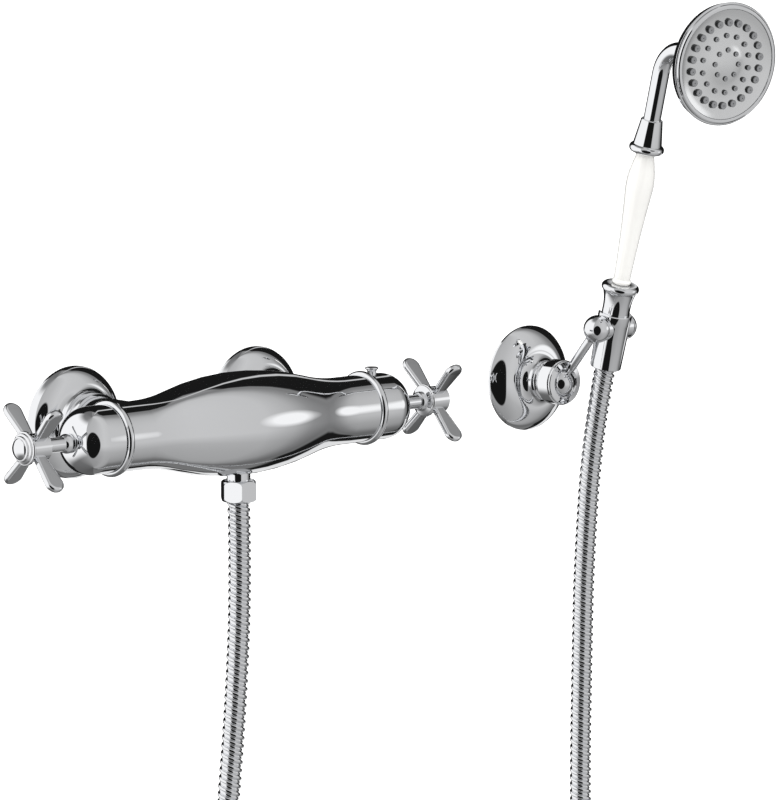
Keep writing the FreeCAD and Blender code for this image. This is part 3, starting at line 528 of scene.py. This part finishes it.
# %% Finishing a piece
def piece(name, shells, material, body, nodes, rounding=0.2, corner=30.0):
    whole = bmesh.new()
    for shell in shells:
        part = bpy.data.meshes.new("part")
        shell.to_mesh(part)
        shell.free()
        whole.from_mesh(part)
        bpy.data.meshes.remove(part)
    bmesh.ops.recalc_face_normals(whole, faces=whole.faces)
    data = bpy.data.meshes.new(name)
    whole.to_mesh(data)
    whole.free()
    data.shade_smooth()
    data.set_sharp_from_angle(angle=math.radians(corner))
    data.materials.append(material)
    made = bpy.data.objects.new(name, data)
    bpy.context.collection.objects.link(made)
    if rounding:
        soft = made.modifiers.new("rounded corners", "BEVEL")
        soft.width = rounding * MM
        soft.segments = 2
        soft.limit_method = "ANGLE"
        soft.angle_limit = math.radians(corner)
        soft.harden_normals = True
    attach(made, body)
    if nodes:
        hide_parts(*nodes)
    print(name, len(data.polygons), "faces")
    return made


# %% [markdown]
# The mixer's body is one casting: a round bulge that draws in to a waist at each end. Two tangent
# arcs make each half of its outline. Two branches run back from it to the wall, and each has a
# collar for the nut that holds it there.

# %% Mixer body
BODY_OUT = 74.0
BULGE, WAIST, WAIST_AT, INFLECTION = 32.8, 21.6, 83.0, 54.0
swing = 2.0 * math.atan((BULGE - WAIST) / WAIST_AT)
first_arc = INFLECTION / math.sin(swing)
second_arc = WAIST_AT / math.sin(swing) - first_arc
bulge_end = (BULGE - first_arc * (1 - math.cos(swing)), first_arc * math.sin(swing))
waist_mid = (WAIST + second_arc * (1 - math.cos(swing / 2)),
             WAIST_AT - second_arc * math.sin(swing / 2))
right_end = facing((0, -BODY_OUT, 0), (1, 0, 0))
left_end = facing((0, -BODY_OUT, 0), (-1, 0, 0))
barrel = turned([
    (17.0, -107.0), (18.7, -107.0), (18.7, -102.0), (WAIST, -102.0), (WAIST, -WAIST_AT),
    (waist_mid[0], -waist_mid[1], bulge_end[0], -bulge_end[1]),
    (BULGE, 0, bulge_end[0], bulge_end[1]), (waist_mid[0], waist_mid[1], WAIST, WAIST_AT),
    (WAIST, 102.0), (18.7, 102.0), (18.7, 107.0), (17.0, 107.0), (17.0, 44.0), (8.0, 44.0),
    (8.0, -44.0), (17.0, -44.0),
], right_end, rounds=160)


def off_wall(x, z):
    """Own Z is the depth in front of the wall."""
    return facing((x, 0, z), (0, -1, 0))


branches = [turned([
    (8.0, 20.9), (12.8, 20.9), (12.8, 22.4), (10.8, 22.4), (10.8, 25.2), (18.5, 25.2),
    (18.5, 66.0), (8.0, 66.0),
], off_wall(x, 0)) for x in (-75.0, 75.0)]
piece("mixer_casting", [barrel] + branches, chrome, "root", ["mixer_body"])

# %% [markdown]
# A polished bead sits between the casting and each turning sleeve. It is half a circle in section
# and throws a white and a black line all the way round.

# %% Beaded stop rings
for side, end in (("left", left_end), ("right", right_end)):
    bead = turned([(18.75, 102.0), (21.5, 102.0), (24.0, 104.5, 21.5, 107.0), (18.75, 107.0)], end,
                  rounds=128)
    piece(side + "_bead", [bead], chrome, "root", [side + "_stop_ring"], rounding=0.1)

# %% [markdown]
# The wall rosettes are spun from sheet: a rolled rim on the wall, a convex dome, and a throat that
# flares in to a stepped lip round the branch. The union behind each has a real pipe thread, drawn
# as rings because its slope is too small to see.

# %% Wall rosettes and unions
THREAD_PITCH = 1.814
for side, x in (("left", -75.0), ("right", 75.0)):
    dome = turned([
        (34.0, 0), (35.4, 0), (35.8, 0.5), (35.8, 2.0), (31.6, 8.9, 24.0, 12.5),
        (21.7, 14.6, 20.6, 18.0), (20.6, 20.6), (19.9, 21.0), (19.9, 21.9), (20.5, 22.3),
        (20.5, 26.0), (18.55, 26.0), (18.55, 19.0), (19.8, 13.4, 22.6, 10.9),
        (29.8, 7.4, 34.0, 1.6),
    ], off_wall(x, 0), rounds=128)
    piece(side + "_rosette", [dome], chrome, "root", [side + "_wall_flange"])
    thread = []
    for k in range(10):
        low = -17.9 + k * THREAD_PITCH
        thread += [(9.45, low), (10.48, low + 0.75), (10.48, low + 0.95), (9.45, low + 1.7)]
    union = turned([(7.0, -18.0), (9.4, -18.0)] + thread + [
        (9.45, 4.0), (14.0, 4.0), (14.0, 7.0), (11.6, 7.0), (11.6, 9.0), (13.1, 9.6),
        (13.1, 18.9), (7.0, 18.9),
    ], off_wall(x, 0), rounds=64)
    piece(side + "_union", [union], brass, "root", [side + "_wall_union"], rounding=0.05)

# %% [markdown]
# A sleeve closes each end of the mixer and turns with its handle. It is a short cylinder under a
# dome, and the stem of the handle comes out of the dome through a small collar. The right sleeve
# has the safety button on top, which stops the handle before the water is too hot.

# %% Turning sleeves and stems
SLEEVE = [
    (17.6, 107.4), (21.4, 107.4), (21.4, 119.8), (16.71, 131.11, 5.4, 135.8), (5.0, 135.8),
    (5.0, 112.0), (8.2, 112.0), (8.2, 131.0), (13.2, 127.9), (16.6, 122.5), (17.6, 118.5),
]
STEM = [
    (5.0, 135.9), (6.0, 135.9), (6.2, 136.4), (6.2, 137.6), (5.8, 139.8, 4.65, 141.6),
    (4.65, 162.4), (2.0, 162.4), (2.0, 150.4), (0, 149.4),
]
piece("left_sleeve", [turned(SLEEVE, left_end, 128)], chrome, "flow_handle", ["flow_sleeve"])
piece("left_stem", [turned([(0, 54.0), (10.0, 54.0), (10.0, 61.0), (5.0, 61.0)] + STEM, left_end)],
      chrome, "flow_handle", ["flow_spindle"])
piece("right_sleeve", [turned(SLEEVE, right_end, 128)], chrome, "temperature_handle",
      ["temperature_sleeve"])
piece("right_stem", [turned([
    (0, 78.05), (3.5, 78.05), (3.5, 81.0), (11.4, 81.0), (11.4, 86.5), (5.0, 86.5),
] + STEM, right_end)], chrome, "temperature_handle", ["temperature_spindle"])
button = turned([
    (0, 14.6), (3.7, 14.6), (3.7, 17.5), (3.0, 17.5), (3.0, 22.6), (3.3, 23.9, 4.3, 24.7),
    (4.3, 25.4), (3.9, 25.9), (0, 26.1),
], facing((112.6, -BODY_OUT, 0), (0, 0, 1)), 48)
piece("button_cap", [button], chrome, "button", ["safety_button"])

# %% [markdown]
# Each handle is a hub with four flat arms, each a little wider towards its round tip. An arm
# starts as a flat face in the arm's outline, is given its thickness, and has its long edges
# rounded, so that the sides stay flat mirrors between soft edges.

# %% Cross handles
ARM_TIP, ARM_THICKNESS, ARM_ROUNDING = 34.5, 4.5, 1.9
HANDLE_AT = 164.4


def handle_arm(angle, place):
    arm = bmesh.new()
    tip_arc = arc((28.0, -7.2), (ARM_TIP, -1.0), (28.0, 5.2))
    edge = [(5.0, -4.9), (28.0, -7.2)] + tip_arc + [(5.0, 2.9)]
    corners = [arm.verts.new((x, -ARM_THICKNESS / 2, z)) for x, z in edge]
    blank = arm.faces.new(corners)
    grown = bmesh.ops.extrude_face_region(arm, geom=[blank])
    bmesh.ops.translate(arm, vec=(0, ARM_THICKNESS, 0),
                        verts=[v for v in grown["geom"] if isinstance(v, bmesh.types.BMVert)])
    rims = [e for e in arm.edges if abs(e.verts[0].co.y - e.verts[1].co.y) < 0.01
            and max(v.co.x for v in e.verts) > 5.1]
    bmesh.ops.bevel(arm, geom=rims, offset=ARM_ROUNDING, offset_type="OFFSET", segments=6, profile=0.5,
                    affect="EDGES", material=-1)
    bmesh.ops.rotate(arm, cent=(0, 0, 0), matrix=Matrix.Rotation(math.radians(angle), 3, "Z"),
                     verts=arm.verts)
    bmesh.ops.transform(arm, matrix=place, verts=arm.verts)
    return arm


def cross_handle(name, place, body, node):
    hub = turned([
        (0, -9.5), (8.0, -9.5), (8.7, -8.8), (8.8, 4.6), (0, 4.6),
    ], place)
    arms = [handle_arm(45.0 + 90.0 * k, place) for k in range(4)]
    made = piece(name, [hub] + arms, chrome, body, [node], rounding=0, corner=35.0)
    flat = made.modifiers.new("flat faces", "WEIGHTED_NORMAL")
    flat.keep_sharp = True
    return made


left_handle = facing((-HANDLE_AT, -BODY_OUT, 0), (-1, 0, 0))
right_handle = facing((HANDLE_AT, -BODY_OUT, 0), (-1, 0, 0))
cross_handle("left_cross", left_handle, "flow_handle", "flow_cross_handle")
cross_handle("right_cross", right_handle, "temperature_handle", "temperature_cross_handle")

# %% [markdown]
# The middle of each handle is closed by a cap with turned rings. The rings matter to the eye: each
# step throws its own bright line round the dark centre.

# %% Handle caps
index_cap = turned([
    (0, 3.9), (3.9, 3.9), (3.9, 4.6), (10.2, 4.6), (10.75, 5.2), (10.75, 6.2), (10.4, 6.7),
    (9.5, 7.0), (9.2, 8.0), (7.9, 8.6), (7.6, 9.7), (6.6, 10.0), (6.4, 10.3),
    crown(6.4, 10.3, 12.4),
], left_handle)
piece("left_index_cap", [index_cap], chrome, "flow_handle", ["flow_index_cap"],
      rounding=0.12)
hub_ring = turned([
    (4.7, 4.6), (10.0, 4.6), (10.6, 5.2), (10.6, 6.4), (10.0, 6.8), (10.0, 7.4), (9.2, 7.9),
    (7.0, 8.5), (6.3, 8.9), (6.3, 9.8), (5.9, 11.2, 5.2, 12.0), (4.7, 12.0),
], right_handle)
piece("right_hub_ring", [hub_ring], chrome, "temperature_handle", ["temperature_hub_ring"],
      rounding=0.12)
end_cap = turned([(0, 5.0), (4.4, 5.0), (4.4, 9.2), (7.5, 9.2), (7.5, 9.7), crown(7.5, 9.7, 11.2)],
                 facing((HANDLE_AT, -BODY_OUT, 0), (1, 0, 0)))
piece("right_end_cap", [end_cap], chrome, "temperature_handle", ["temperature_index_cap"])

# %% [markdown]
# The hose's nut is a hexagon whose corners were turned down at both ends, which leaves the curved
# shoulders on its flats. The quickest true way to that shape is the maker's own: keep what a
# hexagonal bar and a turned blank have in common.

# %% Outlet and hose nut
def combined(shell, tools):
    """A closed shell after others are joined to it, taken from it or kept in common with it."""
    data = bpy.data.meshes.new("work")
    bmesh.ops.recalc_face_normals(shell, faces=shell.faces)
    shell.to_mesh(data)
    shell.free()
    work = bpy.data.objects.new("work", data)
    bpy.context.collection.objects.link(work)
    spare = [work]
    for tool, how in tools:
        tool_data = bpy.data.meshes.new("tool")
        bmesh.ops.recalc_face_normals(tool, faces=tool.faces)
        tool.to_mesh(tool_data)
        tool.free()
        spare.append(bpy.data.objects.new("tool", tool_data))
        bpy.context.collection.objects.link(spare[-1])
        step = work.modifiers.new(how, "BOOLEAN")
        step.operation = how
        step.object = spare[-1]
    bpy.context.view_layer.update()
    result = bmesh.new()
    result.from_mesh(bpy.data.meshes.new_from_object(
        work.evaluated_get(bpy.context.evaluated_depsgraph_get())))
    for item in spare:
        bpy.data.objects.remove(item)
    return result


def hexagon_nut(across, low, high, chamfer, bore, place):
    """A hexagon bar in common with a blank that is turned down to a smaller round at both ends."""
    corner = across / math.sqrt(3.0)
    bar = bmesh.new()
    bmesh.ops.create_cone(bar, cap_ends=True, segments=6, radius1=corner, radius2=corner,
                          depth=high - low, matrix=Matrix.Translation((0, 0, (low + high) / 2)))
    blank = turned([
        (bore, low - 0.01), (across / 2 - 1.2, low - 0.01),
        (corner - 0.4, low + chamfer * 0.5, corner + 0.01, low + chamfer),
        (corner + 0.01, high - chamfer),
        (corner - 0.4, high - chamfer * 0.5, across / 2 - 1.2, high + 0.01), (bore, high + 0.01),
    ], Matrix.Identity(4))
    nut = combined(bar, [(blank, "INTERSECT")])
    bmesh.ops.transform(nut, matrix=place, verts=nut.verts)
    return nut


downwards = facing((0, -BODY_OUT, 0), (0, 0, -1))
nipple = turned([(5.0, 24.0), (8.28, 24.0), (8.28, 31.0), (7.5, 31.0), (7.5, 37.0), (8.3, 37.6),
                 (8.3, 45.5), (5.0, 45.5)], downwards)
piece("outlet_tail", [nipple], chrome, "root", ["outlet_nipple"], rounding=0.1)
piece("hose_hexagon_nut", [hexagon_nut(20.6, 36.0, 50.0, 3.4, 6.3, downwards)], chrome, "root",
      ["hose_nut"], rounding=0.08, corner=12.0)

# %% [markdown]
# The bracket holds a ball between two seats: a rosette on the wall, a cup, and a ring nut that
# clamps the ball. The arm is ball, rod and knuckle in one piece, and the knuckle is flat where the
# holder turns against it.

# %% Swivel bracket
bracket = off_wall(320.0, -6.0)
piece("bracket_rosette", [turned([
    (34.0, 0), (35.4, 0), (35.8, 0.5), (35.8, 2.0), (29.5, 9.0, 20.0, 12.4),
    (14.6, 14.2, 12.5, 17.6), (12.5, 20.0), (13.2, 20.6), (13.5, 21.3, 13.2, 22.0),
    (12.2, 22.6), (12.4, 23.6, 12.2, 24.6), (10.55, 24.6), (10.55, 17.4),
    (12.8, 12.6, 19.2, 10.9), (28.0, 7.6, 34.0, 1.6),
], bracket, 128)], chrome, "root", ["holder_wall_flange"], rounding=0.15)
piece("bracket_cup", [turned([
    (0, 10.0), (3.95, 10.0), (3.95, 20.0), (10.5, 20.0), (10.5, 26.5), (14.6, 26.5),
    (15.3, 27.2), (15.3, 36.4), (14.7, 37.0), (13.0, 37.0), (13.0, 32.0), (10.0, 32.0),
    (10.0, 23.0), (0, 23.0),
], bracket)], chrome, "root", ["swivel_housing"], rounding=0.15)
piece("bracket_ring_nut", [turned([
    (11.2, 32.4), (13.0, 32.4), (13.0, 37.0), (14.6, 37.0), (14.6, 38.0), (14.1, 38.5),
    (10.4, 39.1), (9.1, 38.3), (9.1, 37.4), (11.2, 37.4),
], bracket)], chrome, "root", ["swivel_ring_nut"], rounding=0.15)

# %% [markdown]
# The front of the ball shows through the ring nut. The rod leaves it upwards and forwards, and
# swells into the knuckle, a sphere that is cut flat on the side where the sleeve turns.

# %% Arm with its ball and knuckle
ball_at, knuckle_at = Vector((320.0, -34.7, -6.0)), Vector((320.0, -69.3, 33.5))
reach_out = (knuckle_at - ball_at).length
ball = turned([(0, -9.5), (9.5, 0, 0, 9.5)], facing(ball_at, (0, -1, 0)))
rod = turned([
    (0, 0), (2.3, 0), (2.3, 11.5), (2.7, 13.6, 3.1, 15.0), (3.1, 41.0), (3.5, 43.6, 5.0, 45.4),
    (2.6, 47.0), (2.6, reach_out), (0, reach_out),
], facing(ball_at, knuckle_at - ball_at))
KNUCKLE = 9.4
flat_rim = math.sqrt(KNUCKLE ** 2 - 2.9 ** 2)
knuckle = turned([(0, -KNUCKLE), (KNUCKLE * 0.966, -KNUCKLE * 0.259, flat_rim, 2.9), (0, 2.9)],
                 facing(knuckle_at, (1, 0, 0)))
piece("ball_arm", [ball, rod, knuckle], chrome, "arm", ["holder_arm"], rounding=0.15)

# %% [markdown]
# The sleeve grips the cone of the hand shower's nut. It has a slot on the wall side for the hose,
# a boss on the left that turns against the knuckle, and a domed plug on the right. It is turned,
# joined to its boss, and then cut by the slot, as it would be milled.

# %% Slotted holder
LEAN = math.radians(14.2)
SLEEVE_AT = Vector((334.5, -69.3, 33.5))
up_the_grip = Vector((0, -math.sin(LEAN), math.cos(LEAN)))
holder = (Matrix.Translation(SLEEVE_AT * MM) @ Matrix.Rotation(LEAN, 4, "X")
          @ Matrix.Scale(MM, 4))
across = Vector((0, 0, 1)).rotation_difference(Vector((1, 0, 0))).to_matrix().to_4x4()


def block(size, centre):
    made = bmesh.new()
    place = Matrix.Translation(centre) @ Matrix.Diagonal((*size, 1.0))
    bmesh.ops.create_cube(made, size=1.0, matrix=place)
    return made


sleeve = turned([
    (0, -28.3), (10.1, -28.3), (10.5, -27.8), (11.2, 3.3), (11.5, 3.9), (11.5, 9.7), (11.1, 10.3),
    (0, 10.3),
], Matrix.Identity(4), 96)
boss = turned([(0, -11.15), (8.5, -11.15), (8.5, 11.8), (0, 11.8)], across, 72)
cone = turned([(0, -29.3), (8.496, -29.3), (9.564, 11.3), (0, 11.3)], Matrix.Identity(4), 96)
slotted = combined(sleeve, [
    (boss, "UNION"), (cone, "DIFFERENCE"),
    (block((15.2, 16.0, 42.0), (0, 8.0, -9.0)), "DIFFERENCE"),
    (block((8.0, 30.0, 42.0), (-15.15, 0, -9.0)), "DIFFERENCE"),
    (turned([(0, 9.8), (5.0, 9.8), (5.0, 13.8), (0, 13.8)], across, 48), "DIFFERENCE"),
])
bmesh.ops.transform(slotted, matrix=holder, verts=slotted.verts)
piece("slotted_sleeve", [slotted], chrome, "holder", ["handset_holder"], rounding=0.12)
plug = turned([
    (0, 9.9), (4.95, 9.9), (4.95, 11.8), (8.5, 11.8), (8.8, 12.2), (8.8, 13.0),
    crown(8.8, 13.0, 18.8),
], holder @ across)
piece("sleeve_plug", [plug], chrome, "holder", ["holder_side_plug"], rounding=0.12)

# %% [markdown]
# The hand shower is a row of turned pieces on one axis: the hose's cone nut, a flared collar with a
# bead, the porcelain grip that swells like a vase, and a bell-shaped ferrule.

# %% Hand shower's grip
def on_grip(steps, rounds=96):
    return [turned(steps, holder, rounds)]


piece("cone_nut", on_grip([
    (5.0, -28.4), (8.4, -28.4), (9.4, 9.6), (7.62, 9.6), (7.62, -8.0), (5.0, -8.0),
]), chrome, "handset", ["hose_cone_nut"])
piece("flared_collar", on_grip([
    (3.35, 9.6), (9.0, 9.6), (9.4, 10.0), (9.4, 12.6), (9.6, 18.6, 11.0, 25.0), (11.6, 26.2),
    (12.75, 28.4, 11.7, 30.6), (11.0, 31.1), (9.2, 31.2), (5.6, 31.0), (3.35, 31.0),
]), chrome, "handset", ["handset_collar"], rounding=0.12)
piece("glazed_grip", on_grip([
    (3.4, 31.0), (5.2, 31.0), (6.5, 32.6, 5.6, 34.6), (6.9, 66.0, 9.3, 98.0),
    (9.1, 106.5, 8.0, 113.0), (6.6, 119.6, 5.6, 124.0), (3.4, 124.0),
]), porcelain, "handset", ["porcelain_grip"])
piece("bell_ferrule", on_grip([
    (3.35, 124.0), (10.0, 124.0), (11.8, 126.4, 10.4, 129.0), (9.7, 129.4), (9.6, 130.4),
    (7.3, 146.4), (6.9, 146.9), (5.8, 146.9), (5.8, 139.0), (3.35, 139.0),
]), chrome, "handset", ["upper_ferrule"], rounding=0.12)

# %% [markdown]
# The neck is a bent tube. A ring of points is spun about the bend's centre by the angle between the
# grip and the head, and the two ends are drawn out straight.

# %% Bent neck
NECK, BEND = 5.8, 21.0
NECK_CORNER, NECK_FOOT, FACE_REACH, NECK_ENDS = 197.3, 139.0, 67.8, 17.5
DROOP, ASIDE = math.radians(7.0), math.radians(8.5)
ahead = Vector((-math.sin(ASIDE) * math.cos(DROOP), -math.cos(ASIDE) * math.cos(DROOP),
                -math.sin(DROOP)))
corner_point = SLEEVE_AT + up_the_grip * NECK_CORNER
face_point = corner_point + ahead * FACE_REACH
bend_turn = up_the_grip.angle(ahead)
bend_cut = BEND * math.tan(bend_turn / 2)
bend_in = corner_point - up_the_grip * bend_cut
bend_axis = up_the_grip.cross(ahead).normalized()
bend_centre = bend_in + bend_axis.cross(up_the_grip) * BEND
tube_foot = corner_point + up_the_grip * (NECK_FOOT - NECK_CORNER)
neck = bmesh.new()
bmesh.ops.create_circle(neck, segments=48, radius=NECK,
                        matrix=Matrix.Translation(tube_foot)
                        @ Vector((0, 0, 1)).rotation_difference(up_the_grip).to_matrix().to_4x4())
rim = neck.edges[:]


def draw_out(rim, along, steps):
    """Extend the open end of the neck in a few equal steps."""
    for _ in range(steps):
        grown = bmesh.ops.extrude_edge_only(neck, edges=rim)["geom"]
        ring = [v for v in grown if isinstance(v, bmesh.types.BMVert)]
        bmesh.ops.translate(neck, vec=along / steps, verts=ring)
        rim = [e for e in grown if isinstance(e, bmesh.types.BMEdge)]
    return rim


rim = draw_out(rim, bend_in - tube_foot, 4)
bent = bmesh.ops.spin(neck, geom=rim + list({v for e in rim for v in e.verts}), cent=bend_centre,
                      axis=bend_axis, angle=bend_turn, steps=24)["geom_last"]
rim = [e for e in bent if isinstance(e, bmesh.types.BMEdge)]
rim = draw_out(rim, ahead * (FACE_REACH - bend_cut - NECK_ENDS), 3)
bmesh.ops.remove_doubles(neck, verts=neck.verts, dist=1e-4)
bmesh.ops.holes_fill(neck, edges=[e for e in neck.edges if e.is_boundary], sides=0)
bmesh.ops.transform(neck, matrix=Matrix.Scale(MM, 4), verts=neck.verts)
piece("neck", [neck], chrome, "handset", ["bent_neck_tube"], rounding=0)

# %% [markdown]
# The spray head is a shallow bowl with a rolled bezel. The face plate is set back behind the bezel,
# and the soft nozzles come through it in three rings. Each nozzle is a small cone with its hole.
# The silicone is dark. Faces that look straight out of the head are given a paler grey, a painted
# highlight for the light on the nozzle tips, so that each nozzle reads as a lit grey disc with a dark
# side, as it does in the picture.

# %% Spray head
head = facing(face_point, ahead)
piece("head_shell", [turned([
    (5.5, -27.0), (6.8, -27.0), (7.4, -26.4), (7.4, -21.0), (8.0, -18.6, 10.6, -17.4),
    (26.0, -13.9, 38.6, -7.6), (39.5, -6.9), (40.8, -2.2), (40.2, -1.6), (39.6, -1.6), (39.2, -0.6),
    (38.4, 0), (36.6, 0), (36.4, -0.4), (36.4, -4.6), (34.0, -4.6), (34.0, -6.8),
    (23.0, -11.0, 10.0, -13.6), (4.0, -14.2), (4.0, -17.5), (5.5, -17.5),
], head, 160)], chrome, "handset", ["spray_head_shell"], rounding=0.2)
piece("face_plate", [turned([
    (0, -2.8), (36.3, -2.8), (36.3, -0.5), (31.5, -2.0), (15.0, -2.0), crown(15.0, -2.0, -0.1),
], head, 128)],
      face_chrome, "handset", ["spray_face_plate"], rounding=0.15)
nozzle_rubber = moulded("dark_silicone_with_painted_tip_light", "2A2B2C", "2A2B2C", 0.45, 1.2, 0.00002)
soft_graph = nozzle_rubber.node_tree
base = soft_graph.nodes["Principled BSDF"].inputs["Base Color"]
dark_sides = base.links[0].from_socket
# Painted highlight: faces that look out of the head are mixed towards the paler grey 7D7E80, which
# stands for light on the nozzle tips; the sides keep the dark silicone colour.
outward = add(soft_graph, "ShaderNodeVectorMath", {"operation": "DOT_PRODUCT", 1: ahead}, {
    0: add(soft_graph, "ShaderNodeTexCoord").outputs["Normal"]})
tip_light_share = add(soft_graph, "ShaderNodeMapRange", {"From Min": 0.35, "From Max": 0.85},
           {"Value": outward.outputs["Value"]})
painted_tip_light = add(soft_graph, "ShaderNodeMix", {"data_type": "RGBA"},
            {0: tip_light_share.outputs["Result"], 6: dark_sides})
painted_tip_light.inputs[7].default_value = colour("7D7E80")
soft_graph.links.new(painted_tip_light.outputs[2], base)

# Count, circle, radius of a nozzle, turn in shares of a step, and height of the tip
NOZZLE_RINGS = ((22, 27.4, 2.5, 0.0, -0.3), (14, 18.9, 1.8, 0.3, -0.8), (8, 9.5, 1.8, -0.22, 0.1))
nozzles = [turned([(0, -4.6), (36.2, -4.6), (36.2, -2.85), (0, -2.85)], head, 64)]
for count, circle, radius, phase, tip in NOZZLE_RINGS:
    for k in range(count):
        angle = 2 * math.pi * (k + phase) / count
        spot = Matrix.Translation((circle * math.cos(angle), circle * math.sin(angle), 0))
        nozzles.append(turned([
            (0, -3.4), (radius, -3.4), (radius * 0.96, tip - 0.3), (radius * 0.88, tip),
            (0.35, tip), (0.30, tip - 0.7), (0, tip - 0.7),
        ], head @ spot, 20))
piece("soft_nozzles", nozzles, nozzle_rubber, "handset", ["nozzle_mat"], rounding=0)

# %% [markdown]
# The pieces inside and behind stay as they came in, because their shapes are right and nearly all
# are hidden. Each gets the finish of its real material.

# %% Hidden pieces
INSIDE = {
    rubber: ["inlet_washers", "hose_nut_washer", "cone_nut_washer"],
    acetal: ["check_valves", "rear_ball_seat", "front_ball_seat", "pivot_washer"],
    brass: ["thermostat_housing", "wax_element", "mixing_piston", "flow_cartridge_housing",
            "grip_core_tube", "holder_wall_plate"],
    ceramic: ["fixed_ceramic_disc", "moving_ceramic_disc"],
    steel: ["piston_spring", "button_spring", "flow_handle_screw", "temperature_handle_screw",
            "pivot_screw"],
    chrome: ["left_union_nut", "right_union_nut"],
}
for material, nodes in INSIDE.items():
    for name in nodes:
        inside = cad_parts[name]
        for k in range(len(inside.material_slots)):
            inside.material_slots[k].link = "OBJECT"
            inside.material_slots[k].material = material
print("inside pieces", sum(len(nodes) for nodes in INSIDE.values()))
